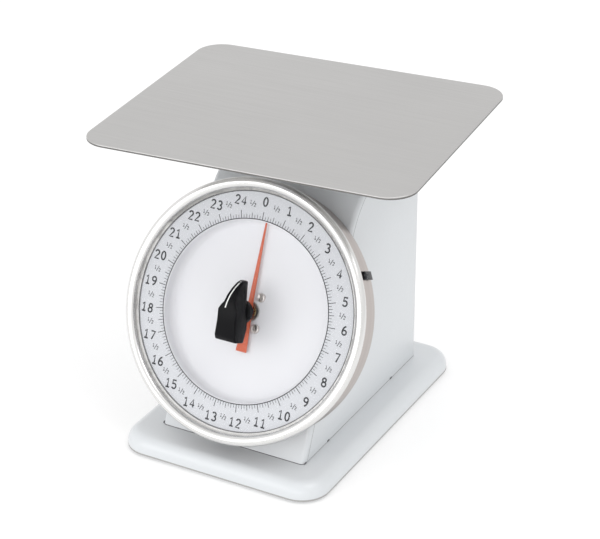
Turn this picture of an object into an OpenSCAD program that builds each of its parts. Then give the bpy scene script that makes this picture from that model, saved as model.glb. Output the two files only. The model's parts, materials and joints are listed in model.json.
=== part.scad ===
// Mechanical dial platform scale: a sheet platform on a sprung carriage, two check levers that keep
// the carriage upright, and a rack and pinion that turn the pointer once round for the full load.
// Millimetres. +X right, +Y to the back, +Z up. The dial faces the front and leans back.

/* [Platform] */
// Width of the platform, left to right
platform_w = 254; // [180:1:320]
// Depth of the platform, front to back
platform_d = 216; // [150:1:280]
// Radius of the platform's corners in plan
platform_corner = 21; // [8:1:40]
// Thickness of the platform sheet
platform_sheet = 1.2; // [0.8:0.1:2.5]
// Height of the turned-down lip round the platform
platform_lip = 2; // [2:0.5:10]
// Angle at which the platform stands turned on its post
platform_turned = 4.8; // [-15:0.1:15]
// Height of the platform's surface above the top of the bezel
platform_over = 34.4; // [32:0.2:60]
// Height from the housing's top to the platform's surface
platform_gap = 35; // [33:0.5:60]

/* [Platform support] */
// Width of the two bars under the platform
spider_bar_w = 24; // [14:1:40]
// Height of the two bars under the platform
spider_bar_h = 6; // [4:0.5:8]
// Length of the bars as a part of the platform's width and depth
spider_reach = 0.72; // [0.5:0.01:0.9]
// Diameter of the socket boss
socket_d = 22; // [18:0.5:26]
// Depth of the socket below the bars
socket_drop = 6; // [4:0.5:7]
// Diameter of the platform post
post_d = 12; // [8:0.5:14]
// Height of the post's shoulder collar
post_collar_h = 3; // [2:0.5:4]

/* [Base] */
// Height of the drawn base pan
base_h = 13; // [9:0.5:25]
// Thickness of the base sheet
base_sheet = 1.2; // [0.8:0.1:2.5]
// Radius of the base's corners in plan
base_corner = 22; // [8:1:40]
// How far the base reaches beyond the housing on each side
base_side = 24; // [14:0.5:50]
// How far the base reaches beyond the housing's foot at the front
base_front = 27.6; // [15:0.2:60]
// How far the base reaches beyond the housing at the back
base_back = 26.3; // [15:0.1:60]
// Gap between the pan's lower edge and the table
table_gap = 2; // [1:0.5:6]
// Diameter of a rubber foot
foot_d = 18; // [12:0.5:30]
// Distance from the base's edge to a foot's centre
foot_inset = 20; // [16:0.5:40]

/* [Housing] */
// Width of the housing
housing_w = 122; // [100:1:180]
// Lean of the front face from the vertical, in degrees
front_tilt = 24.4; // [15:0.1:32]
// Distance from the post to the housing's back wall
stem_back = 81.6; // [66:0.2:120]
// Distance that the front face, drawn on to the top, stands ahead of the post
stem_front = 18; // [12:0.5:40]
// Radius of the bend from the front face to the top
housing_bend = 62; // [30:1:80]
// Thickness of the housing sheet
housing_sheet = 1.2; // [0.8:0.1:2.5]
// Radius of the housing's upright edges
housing_edge = 5; // [3:0.5:10]
// Size of a foot tab on the housing
tab_size = 14; // [12:0.5:18]

/* [Dial] */
// Outer radius of the bezel
bezel_r = 98.7; // [80:0.1:125]
// Radius of the bezel's rounded front bead
bead_r = 4; // [3:0.1:6]
// Thickness of the bezel sheet
bezel_sheet = 1; // [0.6:0.1:1.5]
// Width of the bezel's flat lip inside its bead
lip_w = 1; // [1:0.1:6]
// Length of a clip on the bezel's skirt
bezel_clip_l = 16; // [8:0.5:17]
// Width of a clip on the bezel's skirt
bezel_clip_w = 6.4; // [6:0.1:10]
// Thickness of a clip on the bezel's skirt
bezel_clip_t = 0.8; // [0.5:0.1:1.2]
// Distance from the housing's face to the widest line of the bead
rim_stand = 25.1; // [22:0.1:40]
// Distance from the housing's face to the front of the dial's number ring
dial_stand = 23.2; // [20.5:0.1:38]
// Gap between the cup's lowest point and the base
cup_clear = 6.8; // [4:0.1:20]
// Thickness of the cup's wall
cup_wall = 1; // [0.6:0.1:2]
// Height of the cup's wall
cup_h = 19.5; // [16:0.5:20]
// Radius of the sunk middle of the dial
dish_r = 67.4; // [50:0.1:75]
// Depth of the sunk middle of the dial
dish_depth = 10; // [8:0.1:10]
// Thickness of the dial plate
dial_sheet = 0.8; // [0.5:0.1:1.5]
// Width of the dial's rim under the lens ring
dial_rim = 4.5; // [4:0.1:8]
// Thickness of the lens
lens_t = 1.6; // [1:0.1:3]
// Thickness of the ring that spaces the lens off the dial
ring_t = 0.8; // [0.5:0.1:1.5]
// Wall of the ring round the dial and lens edges
ring_wall = 1.15; // [0.8:0.05:2]
// Gap between the lens ring and the bezel round it
ring_gap = 1.05; // [0.8:0.05:2]

/* [Knob and pointer] */
// Radius of the knob's hub
knob_r = 9; // [8:0.5:15]
// Height of the knob's hub below its body
knob_hub_h = 5; // [3:0.5:8]
// Height of the knob over the lens
knob_h = 24; // [16:0.5:30]
// Length of the knob's beak from the axis
beak_len = 23.5; // [18:0.5:32]
// Length of the knob's tail from the axis
tail_len = 21.5; // [14:0.5:30]
// Gap between the pointer's tip and the step round the sunk middle of the dial
pointer_gap = 0.9; // [0.5:0.1:4]
// Length of the pointer's tail
pointer_tail = 30.5; // [18:0.5:40]
// Width of the pointer at its tail
pointer_w = 9; // [5:0.5:14]
// Thickness of the pointer
pointer_t = 0.5; // [0.3:0.1:1]

/* [Movement] */
// Diameter of the pointer's arbor
arbor_d = 3; // [2:0.1:4]
// Module of the pinion's teeth
gear_module = 0.5; // [0.4:0.05:0.6]
// Number of teeth on the pinion
pinion_teeth = 10; // [9:1:12]
// Length of the pinion
pinion_len = 10; // [9:0.5:14]
// Distance of the rack's middle in front of the post
rack_ahead = 24.5; // [22:0.5:28]
// Thickness of the rack, front to back
rack_t = 5; // [3:0.5:6]
// Width of the rack bar behind its teeth
rack_bar = 6; // [4:0.5:9]
// Thickness of the two bearing plates
plate_t = 3; // [2:0.5:4]
// Diameter of the bearing tube that carries the dial
tube_d = 9; // [7:0.5:11]
// Diameter of a bearing pillar
pillar_d = 6; // [5:0.5:8]

/* [Frame and levers] */
// Gap between the housing's wall and the frame
frame_gap = 19.75; // [18.5:0.25:24]
// Thickness of the frame and lever sheet
frame_sheet = 2.5; // [1.5:0.1:3]
// Gap between the carriage and a lever's arm
lever_gap = 1.5; // [1:0.1:3]
// Gap between a spring and the frame or lever beside it
spring_room = 2.5; // [2:0.1:4]
// Height of a lever's arms
lever_h = 12; // [9:0.5:16]
// Distance from the housing's back wall to the hinge pins
hinge_inset = 19.6; // [16:0.2:24]
// Distance from the hinge pins to the frame's back wall
hinge_margin = 12; // [10:0.5:14]
// Diameter of the hinge and carriage pins
pin_d = 4; // [3:0.5:5]
// Distance from the housing's top down to the spring beam
beam_drop = 48; // [40:0.5:60]
// Distance from the spring beam down to the upper carriage pin
upper_pin_drop = 22; // [19:0.5:28]
// Height of the lower carriage pin over the base
lower_pin_rise = 39; // [36:0.5:48]
// Thickness of the carriage plate
carriage_t = 8; // [6:0.5:10]

/* [Springs] */
// Outside diameter of a spring
spring_od = 12; // [9:0.5:13]
// Diameter of the spring wire
wire_d = 1.8; // [1.2:0.1:2.2]
// Number of turns of a spring
spring_turns = 18; // [10:1:20]
// Diameter of an adjusting screw
adjuster_d = 5; // [4:0.5:6]
// Length of an adjusting screw below the beam
adjuster_drop = 10; // [8:0.5:12]

/* [Fasteners] */
// Diameter of the larger screws
screw_d = 4; // [3:0.5:5]
// Diameter of the smaller screws
small_screw_d = 3; // [2:0.5:3.5]

/* [Fits] */
// Clearance of a turning shaft in its hole, on the radius
run_fit = 0.04; // [0.02:0.01:0.08]
// Clearance of a screw or a seated pin in its hole, on the radius
seat_fit = 0.05; // [0.02:0.01:0.2]
// Clearance of pieces that pass each other
pass_gap = 0.3; // [0.2:0.05:1]
// Clearance of a carriage pin in a lever's slot, on the radius
slot_fit = 0.15; // [0.1:0.01:0.4]
// Backlash at a rack or pinion tooth
backlash = 0.12; // [0.08:0.01:0.2]

/* [Hidden] */
$fn = 64;

// Slack by which a cutting shape runs past what it cuts
cut = 1;

// Distance by which a rounding stands off the flat faces that it joins
round_slack = 0.02;

// Heights, from the table up
base_top = table_gap + base_h;
cup_r = bezel_r - bead_r + pass_gap;
dial_axis_z = base_top + cup_clear + cup_r * cos(front_tilt);
bezel_top = dial_axis_z + rim_stand * sin(front_tilt) + bezel_r * cos(front_tilt);
platform_top = bezel_top + platform_over;
housing_top = platform_top - platform_gap;
beam_z = housing_top - beam_drop;
upper_pin_z = beam_z - upper_pin_drop;
lower_pin_z = base_top + lower_pin_rise;

// Depths, from the post, towards the back
housing_front = -stem_front - (housing_top - base_top) * tan(front_tilt);
base_w = housing_w + 2 * base_side;
base_y0 = housing_front - base_front;
base_y1 = stem_back + base_back;
base_d = base_y1 - base_y0;
base_y = (base_y0 + base_y1) / 2;
hinge_y = stem_back - hinge_inset;
lever_len = hinge_y;

// The origin is under the middle of the whole scale's box
platform_half_d = (platform_d / 2 - platform_corner) * cos(platform_turned)
    + (platform_w / 2 - platform_corner) * abs(sin(platform_turned)) + platform_corner;
origin_y = -(min(base_y0, -platform_half_d) + max(base_y1, platform_half_d)) / 2;

// Bend from the housing's front face to its top
bend_z = housing_top - housing_bend;
bend_y = slope_y(bend_z) + housing_bend / cos(front_tilt);
face_y = slope_y(dial_axis_z);

// Carriage travel: one turn of the pinion for the full load
pitch_r = gear_module * pinion_teeth / 2;
tooth_pitch = PI * gear_module;
full_travel = 2 * PI * pitch_r / cos(front_tilt);
lever_rise = full_travel / 2;
lever_angle = lever_rise / lever_len * 180 / PI;

// Places across the scale
frame_half = housing_w / 2 - frame_gap;
spring_x = frame_half - frame_sheet - spring_room - spring_od / 2;
arm_x = spring_x - spring_od / 2 - spring_room - frame_sheet / 2;
carriage_half = arm_x - frame_sheet / 2 - lever_gap;
pin_stick = 1.5;
pin_half = arm_x + frame_sheet / 2 + pin_stick;
frame_front = -carriage_t / 2;
frame_back = hinge_y + hinge_margin;
flange_w = 13;
flange_screw = 6;
carriage_low = lower_pin_z - 10;
carriage_high = upper_pin_z + 14;

// Foot tabs of the housing, and the frame's flanges that stop short of the back ones
tab_front = housing_front + 45;
tab_back = stem_back - tab_size / 2 - 5;
tab_x = housing_w / 2 - housing_sheet - tab_size / 2;
flange_back = tab_back - tab_size / 2 - 2;

// Screw heads, as parts of the shank's diameter
head_wide = 2;
head_high = 0.6;
small_head_h = head_high * small_screw_d;

// Dial stack, as distances from the housing's face along the dial's axis
dish_front = dial_stand - dish_depth;
dish_back = dish_front - dial_sheet;
lens_back = dial_stand + ring_t;
lens_front = lens_back + lens_t;
dial_r = cup_r - ring_gap - ring_wall;
hub_flange_r = 17;
hub_flange_t = 3;
hub_sleeve_r = 8;
tube_collar_r = tube_d / 2 + 2.5;
tube_collar_t = 2;
hub_back = cup_wall + tube_collar_t;
dial_hole_r = tube_d / 2 + 3;
clip_t = 0.8;
tube_front = dish_front + clip_t;
pointer_back = dish_front + small_head_h + pass_gap;
collar_r = 4;
collar_t = 2.5;
dial_screw_r = 13.6;
bezel_screw_d = rim_stand - 9;
bezel_screw_turn = 28.5;
bezel_clip_seat = cup_r + bezel_sheet + pass_gap;

// Movement, as distances behind the housing's face
mesh_s = (-rack_ahead - face_y) / cos(front_tilt);
mesh_z = dial_axis_z - mesh_s * sin(front_tilt);
rear_plate_s = mesh_s + pinion_len / 2 + 6;
front_plate_s = housing_sheet + seat_fit / 2;
front_plate = [50, 34];
rear_plate = [30, 20];
rear_plate_corner = [-25, -13];
cup_screw_place = [21, 13];
pillar_places = [[-20, -8], [-20, 3], [-8, -9]];
thread_depth = 8;

// Tooth heights in modules: long pinion tips and short rack tips keep few teeth from jamming
pinion_addendum = 0.96;
pinion_dedendum = 0.84;
rack_addendum = 0.54;
rack_dedendum = 1.24;
pressure = 20;
rack_tip = pitch_r - rack_addendum * gear_module;
rack_root = pitch_r + rack_dedendum * gear_module;
rack_back = rack_root + rack_bar;
rack_foot_h = 19;
rack_low = mesh_z - 4 * tooth_pitch;
rack_high = mesh_z + (pinion_teeth + 6) * tooth_pitch / cos(front_tilt);

// Springs
arm_z = lower_pin_z + 14;
arm_h = 8;
hook_depth = 4;
hook_lead = 3;
spring_low = arm_z + arm_h + hook_lead;
spring_high = beam_z - adjuster_drop - hook_lead;
beam_front = -10;
beam_d = 38;
beam_screw_y = 22;
adjuster_rise = 12;

function slope_y(z) = housing_front + (z - base_top) * tan(front_tilt);

module placed() {
    translate([0, origin_y, 0]) children();
}

// Dial frame: X right, Y up the face, Z out of the face along the dial's axis
module on_dial() {
    translate([0, face_y, dial_axis_z]) rotate([90 - front_tilt, 0, 0]) children();
}

module rounded_rect(w, d, r) {
    square([w - 2 * r, d], center = true);
    square([w, d - 2 * r], center = true);
    for (sx = [-1, 1], sy = [-1, 1])
        translate([sx * (w / 2 - r), sy * (d / 2 - r)]) circle(r);
}

module pan(w, d, r, h, t) {
    difference() {
        linear_extrude(h) rounded_rect(w, d, r);
        translate([0, 0, -cut]) linear_extrude(h - t + cut) rounded_rect(w - 2 * t, d - 2 * t, r - t);
    }
}

module rod(d, z0, z1) {
    translate([0, 0, z0]) cylinder(d = d, h = z1 - z0);
}

// Tube between two heights
module sleeve(d_out, d_in, z0, z1) {
    difference() {
        rod(d_out, z0, z1);
        rod(d_in, z0 - cut, z1 + cut);
    }
}

// Pan-head screw with its head's seat at z = 0 and its shank downwards
module pan_screw(d, length) {
    head_d = head_wide * d;
    head_h = head_high * d;
    slot_w = d / 4;
    rod(d, -length, 0);
    difference() {
        rod(head_d, 0, head_h);
        translate([-head_d, -slot_w / 2, head_h / 2]) cube([2 * head_d, slot_w, head_h]);
    }
}

module hex_nut(d) {
    across = 1.7 * d;
    h = 0.8 * d;
    difference() {
        cylinder(d = across / cos(30), h = h, $fn = 6);
        rod(d + 2 * seat_fit, -cut, h + cut);
    }
}

// Steel pin along X
module cross_pin(half, y, z) {
    translate([-half, y, z]) rotate([0, 90, 0]) cylinder(d = pin_d, h = 2 * half);
}

module cross_hole(half, y, z, d) {
    translate([-half, y, z]) rotate([0, 90, 0]) cylinder(d = d, h = 2 * half);
}

// Places of the fasteners
module at_feet() {
    for (sx = [-1, 1], y = [base_y0 + foot_inset, base_y1 - foot_inset])
        translate([sx * (base_w / 2 - foot_inset), y, 0]) children();
}

module at_housing_screws() {
    for (sx = [-1, 1], y = [tab_front, tab_back]) translate([sx * tab_x, y, 0]) children();
}

module at_frame_screws() {
    for (sx = [-1, 1], y = [frame_front + flange_w / 2, flange_back - flange_w / 2])
        translate([sx * (frame_half + flange_screw), y, 0]) children();
}

module at_beam_screws() {
    for (sx = [-1, 1])
        translate([sx * (frame_half - flange_screw), beam_screw_y, 0]) children();
}

module at_springs() {
    for (sx = [-1, 1]) translate([sx * spring_x, 0, 0]) children();
}

module at_cup_screws() {
    for (sx = [-1, 1], sy = [-1, 1])
        translate([sx * cup_screw_place[0], sy * cup_screw_place[1], 0]) children();
}

module at_bezel_screws() {
    for (a = [0, 120, 240])
        rotate(bezel_screw_turn + a) translate([0, 0, bezel_screw_d]) rotate([0, 90, 0]) children();
}

module at_dial_screws() {
    for (a = [-60, 60, 180]) rotate(a) translate([dial_screw_r, 0, 0]) children();
}

module at_pillars() {
    for (p = pillar_places) translate([p[0], p[1], 0]) children();
}

// Housing outline seen from the side, drawn in (y, z)
module side_profile(inset) {
    r = housing_bend - inset;
    foot = base_top - (inset > 0 ? cut : 0);
    centre = [bend_y, bend_z];
    on_face = [-cos(front_tilt), sin(front_tilt)];
    on_bend = [-cos(45 + front_tilt / 2), sin(45 + front_tilt / 2)];
    polygon([
        [slope_y(foot) + inset / cos(front_tilt), foot],
        centre + r * on_face,
        centre,
        centre + [0, r],
        [stem_back - inset, housing_top - inset],
        [stem_back - inset, foot]
    ]);
    intersection() {
        translate(centre) circle(r);
        polygon([centre, centre + 2 * r * on_face, centre + 2 * r * on_bend, centre + [0, 2 * r]]);
    }
}

// Solid form of the housing, drawn in by the inset
module housing_form(inset) {
    w = housing_w - 2 * inset;
    edge = housing_edge - inset;
    span = 2 * (stem_back - housing_front);
    intersection() {
        rotate([90, 0, 90]) linear_extrude(w, center = true) side_profile(inset);
        translate([0, stem_back - inset - span / 2 + round_slack, 0]) linear_extrude(housing_top + cut)
            rounded_rect(w + 2 * round_slack, span, edge);
        on_dial() translate([0, 0, -inset - span / 2 + round_slack]) rotate([90, 0, 0])
            linear_extrude(2 * span, center = true) rounded_rect(w + 2 * round_slack, span, edge);
    }
}

module base_plate() {
    color("whitesmoke") placed() difference() {
        translate([0, base_y, table_gap]) pan(base_w, base_d, base_corner, base_h, base_sheet);
        at_housing_screws() rod(screw_d + 2 * seat_fit, 0, base_top + cut);
        at_frame_screws() rod(screw_d + 2 * seat_fit, 0, base_top + cut);
    }
}

module rubber_feet() {
    color("dimgray") placed() at_feet() rod(foot_d, 0, base_top - base_sheet);
}

module housing() {
    post_hole_d = socket_d + 4;
    color("whitesmoke") placed() difference() {
        union() {
            difference() {
                housing_form(0);
                housing_form(housing_sheet);
            }
            intersection() {
                housing_form(housing_sheet / 2);
                at_housing_screws() translate([-tab_size / 2, -tab_size / 2, base_top])
                    cube([tab_size, tab_size, housing_sheet]);
            }
        }
        at_housing_screws() rod(screw_d + 2 * seat_fit, 0, base_top + 2 * housing_sheet + cut);
        rod(post_hole_d, bend_z, housing_top + cut);
        on_dial() rod(tube_d + 2 * seat_fit, -2 * housing_sheet, housing_sheet);
        on_dial() at_cup_screws() rod(small_screw_d + 2 * seat_fit, -2 * housing_sheet, housing_sheet);
    }
}

module housing_screws() {
    color("silver") placed() at_housing_screws() translate([0, 0, base_top - base_sheet]) rotate([180, 0, 0])
        pan_screw(screw_d, 2 * screw_d);
}

module housing_nuts() {
    color("silver") placed() at_housing_screws() translate([0, 0, base_top + housing_sheet])
        hex_nut(screw_d);
}

// Folded channel that stands on the base and carries the hinge pins and the spring beam
module frame() {
    half = frame_half;
    top_front = beam_screw_y - flange_w / 2;
    color("lightslategray") placed() difference() {
        union() {
            for (sx = [-1, 1]) {
                translate([sx * (half - frame_sheet / 2) - frame_sheet / 2, frame_front, base_top])
                    cube([frame_sheet, frame_back - frame_front, beam_z - base_top]);
                translate([sx * (half + (flange_w - frame_sheet) / 2) - flange_w / 2, frame_front, base_top])
                    cube([flange_w, flange_back - frame_front, frame_sheet]);
                translate([sx * (half - flange_w / 2) - flange_w / 2, top_front, beam_z - frame_sheet])
                    cube([flange_w, frame_back - top_front, frame_sheet]);
            }
            translate([-half, frame_back - frame_sheet, base_top])
                cube([2 * half, frame_sheet, beam_z - base_top]);
        }
        for (z = [upper_pin_z, lower_pin_z])
            cross_hole(half + cut, hinge_y, z - lever_rise, pin_d + 2 * seat_fit);
        at_frame_screws() rod(screw_d + 2 * seat_fit, 0, base_top + frame_sheet + cut);
        at_beam_screws() rod(small_screw_d + 2 * seat_fit, beam_z - 2 * frame_sheet, beam_z + cut);
    }
}

module frame_screws() {
    color("silver") placed() at_frame_screws() translate([0, 0, base_top - base_sheet]) rotate([180, 0, 0])
        pan_screw(screw_d, 2 * screw_d + frame_sheet - housing_sheet);
}

module frame_nuts() {
    color("silver") placed() at_frame_screws() translate([0, 0, base_top + frame_sheet])
        hex_nut(screw_d);
}

module spring_beam() {
    color("lightslategray") placed() difference() {
        translate([-frame_half, beam_front, beam_z]) cube([2 * frame_half, beam_d, frame_sheet]);
        rod(post_d + 2, beam_z - cut, beam_z + frame_sheet + cut);
        at_springs() rod(adjuster_d + 2 * seat_fit, beam_z - cut, beam_z + frame_sheet + cut);
        at_beam_screws() rod(small_screw_d + 2 * seat_fit, beam_z - cut, beam_z + frame_sheet + cut);
    }
}

module beam_screws() {
    color("silver") placed() at_beam_screws() translate([0, 0, beam_z + frame_sheet])
        pan_screw(small_screw_d, 3 * frame_sheet);
}

module adjusting_screws() {
    color("goldenrod") placed() at_springs() difference() {
        rod(adjuster_d, beam_z - adjuster_drop, beam_z + adjuster_rise);
        rod(wire_d + 2 * seat_fit, beam_z - adjuster_drop - cut, beam_z - adjuster_drop + hook_depth + cut);
    }
}

module adjusting_nuts() {
    color("goldenrod") placed() at_springs() translate([0, 0, beam_z + frame_sheet]) hex_nut(adjuster_d);
}

// Point on a spring's wire: straight down the axis, out to the coil, round it, and back to the axis
function wire_point(t, turns) =
    let (coil = min(1, min(t, turns - t) / 0.75), r = (spring_od - wire_d) / 2 * coil)
    [r * cos(360 * t), r * sin(360 * t), spring_low + (spring_high - spring_low) * t / turns];

// Tube swept along the points, with one ring of sides at each
module swept_tube(points, d, sides) {
    last = len(points) - 1;
    function tangent(i) =
        let (v = points[min(i + 1, last)] - points[max(i - 1, 0)]) v / norm(v);
    function side_of(t) =
        let (v = cross(t, abs(t[2]) > 0.9 ? [1, 0, 0] : [0, 0, 1])) v / norm(v);
    rings = [for (i = [0:last])
        let (t = tangent(i), a = side_of(t), b = cross(t, a))
        for (k = [0:sides - 1])
            points[i] + d / 2 * (a * cos(360 * k / sides) + b * sin(360 * k / sides))];
    walls = [for (i = [0:last - 1], k = [0:sides - 1])
        let (p = i * sides + k, q = i * sides + (k + 1) % sides)
        each [[p, q, q + sides], [p, q + sides, p + sides]]];
    end = last * sides;
    ends = [for (k = [1:sides - 2]) each [[0, k + 1, k], [end, end + k, end + k + 1]]];
    polyhedron(points = rings, faces = concat(walls, ends));
}

module coil_spring() {
    rings_per_turn = 8;
    steps = spring_turns * rings_per_turn;
    coil = [for (i = [0:steps]) wire_point(i / rings_per_turn, spring_turns)];
    top = [0, 0, beam_z - adjuster_drop + hook_depth];
    bottom = [0, 0, arm_z + arm_h - hook_depth];
    away = rings_per_turn / 2;
    least = min([for (i = [0:steps - away]) for (j = [i + away:steps]) norm(coil[i] - coil[j])]);
    echo(spring_gap = least - wire_d);
    swept_tube(concat([bottom], coil, [top]), wire_d, 6);
}

module left_spring() {
    color("silver") placed() translate([-spring_x, 0, 0]) coil_spring();
}

module right_spring() {
    color("silver") placed() translate([spring_x, 0, 0]) coil_spring();
}

module upper_hinge_pin() {
    color("silver") placed() cross_pin(frame_half + pin_stick, hinge_y, upper_pin_z - lever_rise);
}

module lower_hinge_pin() {
    color("silver") placed() cross_pin(frame_half + pin_stick, hinge_y, lower_pin_z - lever_rise);
}

module dial_cup() {
    color("gainsboro") placed() on_dial() difference() {
        union() {
            rod(2 * cup_r, 0, cup_wall);
            sleeve(2 * cup_r, 2 * (cup_r - cup_wall), 0, cup_h);
        }
        rod(tube_d + 2 * seat_fit, -cut, cup_wall + cut);
        at_cup_screws() rod(small_screw_d + 2 * seat_fit, -cut, cup_wall + cut);
        at_bezel_screws() rod(small_screw_d + 2 * seat_fit, cup_r - 3 * cup_wall, cup_r + cut);
    }
}

module cup_screws() {
    color("silver") placed() on_dial() at_cup_screws() translate([0, 0, cup_wall])
        pan_screw(small_screw_d, cup_wall + front_plate_s + plate_t);
}

// Section of the bezel: a skirt on the cup, a step out, and a rounded bead with a flat lip over the lens
module bezel_section() {
    centre = bezel_r - bead_r;
    skirt_in = cup_r + seat_fit;
    lip = lens_front + pass_gap;
    step = rim_stand - bead_r;
    skirt_back = bezel_screw_d - 4;
    translate([skirt_in, skirt_back]) square([bezel_sheet, step - skirt_back + bezel_sheet]);
    translate([skirt_in, step]) square([bezel_r - skirt_in, bezel_sheet]);
    translate([bezel_r - bezel_sheet, step]) square([bezel_sheet, bead_r]);
    intersection() {
        translate([centre, rim_stand]) difference() {
            circle(bead_r);
            circle(bead_r - bezel_sheet);
        }
        union() {
            translate([centre, rim_stand]) square(bead_r + cut);
            translate([centre - bead_r - cut, lip]) square([bead_r + cut, bead_r + cut]);
        }
    }
    translate([centre - bead_r + bezel_sheet - lip_w, lip]) square([lip_w, bezel_sheet]);
}

module bezel() {
    color("silver") placed() on_dial() difference() {
        rotate_extrude($fn = 128) bezel_section();
        at_bezel_screws() rod(small_screw_d + 2 * seat_fit, cup_r - cut, cup_r + 3 * bezel_sheet);
    }
}

module bezel_clips() {
    above = small_screw_d + seat_fit;
    color("dimgray") placed() on_dial() at_bezel_screws() difference() {
        translate([-above, -bezel_clip_w / 2, bezel_clip_seat])
            cube([bezel_clip_l, bezel_clip_w, bezel_clip_t]);
        rod(small_screw_d + 2 * seat_fit, bezel_clip_seat - cut, bezel_clip_seat + bezel_clip_t + cut);
    }
}

module bezel_screws() {
    color("gray") placed() on_dial() at_bezel_screws() translate([0, 0, bezel_clip_seat + bezel_clip_t])
        pan_screw(small_screw_d, bezel_clip_t + bezel_sheet + 3 * cup_wall);
}

module front_bearing_plate() {
    color("darkkhaki") placed() on_dial() difference() {
        translate([-front_plate[0] / 2, -front_plate[1] / 2, -front_plate_s - plate_t])
            cube([front_plate[0], front_plate[1], plate_t]);
        rod(tube_d + 2 * seat_fit, -front_plate_s - plate_t - cut, 0);
        at_cup_screws() rod(small_screw_d + 2 * seat_fit, -front_plate_s - plate_t - cut, 0);
        at_pillars() rod(small_screw_d + 2 * seat_fit, -front_plate_s - plate_t - cut, 0);
    }
}

module rear_bearing_plate() {
    color("darkkhaki") placed() on_dial() difference() {
        translate([rear_plate_corner[0], rear_plate_corner[1], -rear_plate_s - plate_t])
            cube([rear_plate[0], rear_plate[1], plate_t]);
        rod(arbor_d + 2 * run_fit, -rear_plate_s - plate_t - cut, -rear_plate_s + cut);
        at_pillars() rod(small_screw_d + 2 * seat_fit, -rear_plate_s - plate_t - cut, -rear_plate_s + cut);
    }
}

module bearing_pillars() {
    color("goldenrod") placed() on_dial() at_pillars() difference() {
        rod(pillar_d, -rear_plate_s, -front_plate_s - plate_t);
        rod(small_screw_d + 2 * seat_fit, -rear_plate_s - cut, -rear_plate_s + thread_depth);
        rod(small_screw_d + 2 * seat_fit, -front_plate_s - plate_t - thread_depth, 0);
    }
}

// Screws at both ends of the pillars: flush studs in front, pan heads behind
module pillar_screws() {
    length = plate_t + 0.75 * thread_depth;
    color("silver") placed() on_dial() at_pillars() {
        rod(small_screw_d, -front_plate_s - length, -front_plate_s);
        translate([0, 0, -rear_plate_s - plate_t]) rotate([180, 0, 0])
            pan_screw(small_screw_d, length);
    }
}

// Fixed tube: the arbor turns in it and the dial's hub turns on it
module bearing_tube() {
    color("goldenrod") placed() on_dial() difference() {
        union() {
            rod(tube_d, -front_plate_s - plate_t, tube_front);
            rod(2 * tube_collar_r, cup_wall, hub_back - run_fit);
        }
        rod(arbor_d + 2 * run_fit, -front_plate_s - plate_t - cut, tube_front + cut);
    }
}

module hub_clip() {
    back = dish_back + pass_gap;
    color("silver") placed() on_dial()
        sleeve(2 * dial_hole_r - 2, tube_d + 2 * seat_fit, back, back + clip_t);
}

// Plate that carries the post, the rack, the spring arm and both carriage pins
module carriage() {
    color("steelblue") placed() difference() {
        translate([-carriage_half, -carriage_t / 2, carriage_low])
            cube([2 * carriage_half, carriage_t, carriage_high - carriage_low]);
        for (z = [upper_pin_z, lower_pin_z])
            cross_hole(carriage_half + cut, 0, z, pin_d + 2 * seat_fit);
        translate([-carriage_half - cut, -carriage_t / 4 - seat_fit, arm_z - seat_fit])
            cube([2 * carriage_half + 2 * cut, carriage_t / 2 + 2 * seat_fit, arm_h + 2 * seat_fit]);
        rod(post_d / 2 + 2 * seat_fit, carriage_high - thread_depth, carriage_high + cut);
        at_rack_screws() rod(small_screw_d + 2 * seat_fit, -carriage_t, carriage_t);
    }
}

module upper_carriage_pin() {
    color("silver") placed() cross_pin(pin_half, 0, upper_pin_z);
}

module lower_carriage_pin() {
    color("silver") placed() cross_pin(pin_half, 0, lower_pin_z);
}

module spring_arm() {
    half = spring_x + spring_od / 2 - 1;
    color("lightslategray") placed() difference() {
        translate([-half, -carriage_t / 4, arm_z]) cube([2 * half, carriage_t / 2, arm_h]);
        at_springs() rod(wire_d + 2 * seat_fit, arm_z + arm_h - hook_depth - cut, arm_z + arm_h + cut);
    }
}

// Round post: a threaded foot in the carriage, and a shoulder that the platform's socket stands on
module platform_post() {
    shoulder = platform_top - platform_sheet - spider_bar_h - socket_drop;
    color("silver") placed() {
        rod(post_d / 2, carriage_high - thread_depth + pass_gap, carriage_high);
        rod(post_d, carriage_high, platform_top - platform_sheet - spider_bar_h);
        rod(socket_d, shoulder - post_collar_h, shoulder - pass_gap / 3);
    }
}

// Screws run front to back through the rack's foot into the carriage
module at_rack_screws() {
    for (dz = [0.25, 0.75] * rack_foot_h)
        translate([rack_root + rack_bar / 2, 0, rack_high + dz]) rotate([90, 0, 0]) children();
}

// Rack outline seen along the pinion's axis: (x, up the face), with a tooth in mesh at rest
module rack_outline() {
    half_tooth = tooth_pitch / 4 - backlash / 2;
    slope = tan(pressure);
    first = -6;
    last = pinion_teeth + 12;
    translate([rack_root, first * tooth_pitch]) square([rack_bar, (last - first) * tooth_pitch]);
    for (i = [first + 1:last - 1])
        translate([0, i * tooth_pitch]) polygon([
            [rack_tip, half_tooth - (pitch_r - rack_tip) * slope],
            [rack_root + backlash, half_tooth + (rack_root + backlash - pitch_r) * slope],
            [rack_root + backlash, -half_tooth - (rack_root + backlash - pitch_r) * slope],
            [rack_tip, -half_tooth + (pitch_r - rack_tip) * slope]
        ]);
}

module rack() {
    reach = 2 * mesh_s;
    color("goldenrod") placed() difference() {
        union() {
            intersection() {
                on_dial() translate([0, 0, -reach]) linear_extrude(reach) rack_outline();
                translate([0, -rack_ahead - rack_t / 2, rack_low])
                    cube([rack_back, rack_t, rack_high + cut - rack_low]);
            }
            translate([rack_root, -rack_ahead - rack_t / 2, rack_high])
                cube([rack_bar, rack_ahead + rack_t / 2 - carriage_t / 2, rack_foot_h]);
        }
        at_rack_screws() rod(small_screw_d + 2 * seat_fit, 0, 2 * rack_ahead);
    }
}

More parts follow.
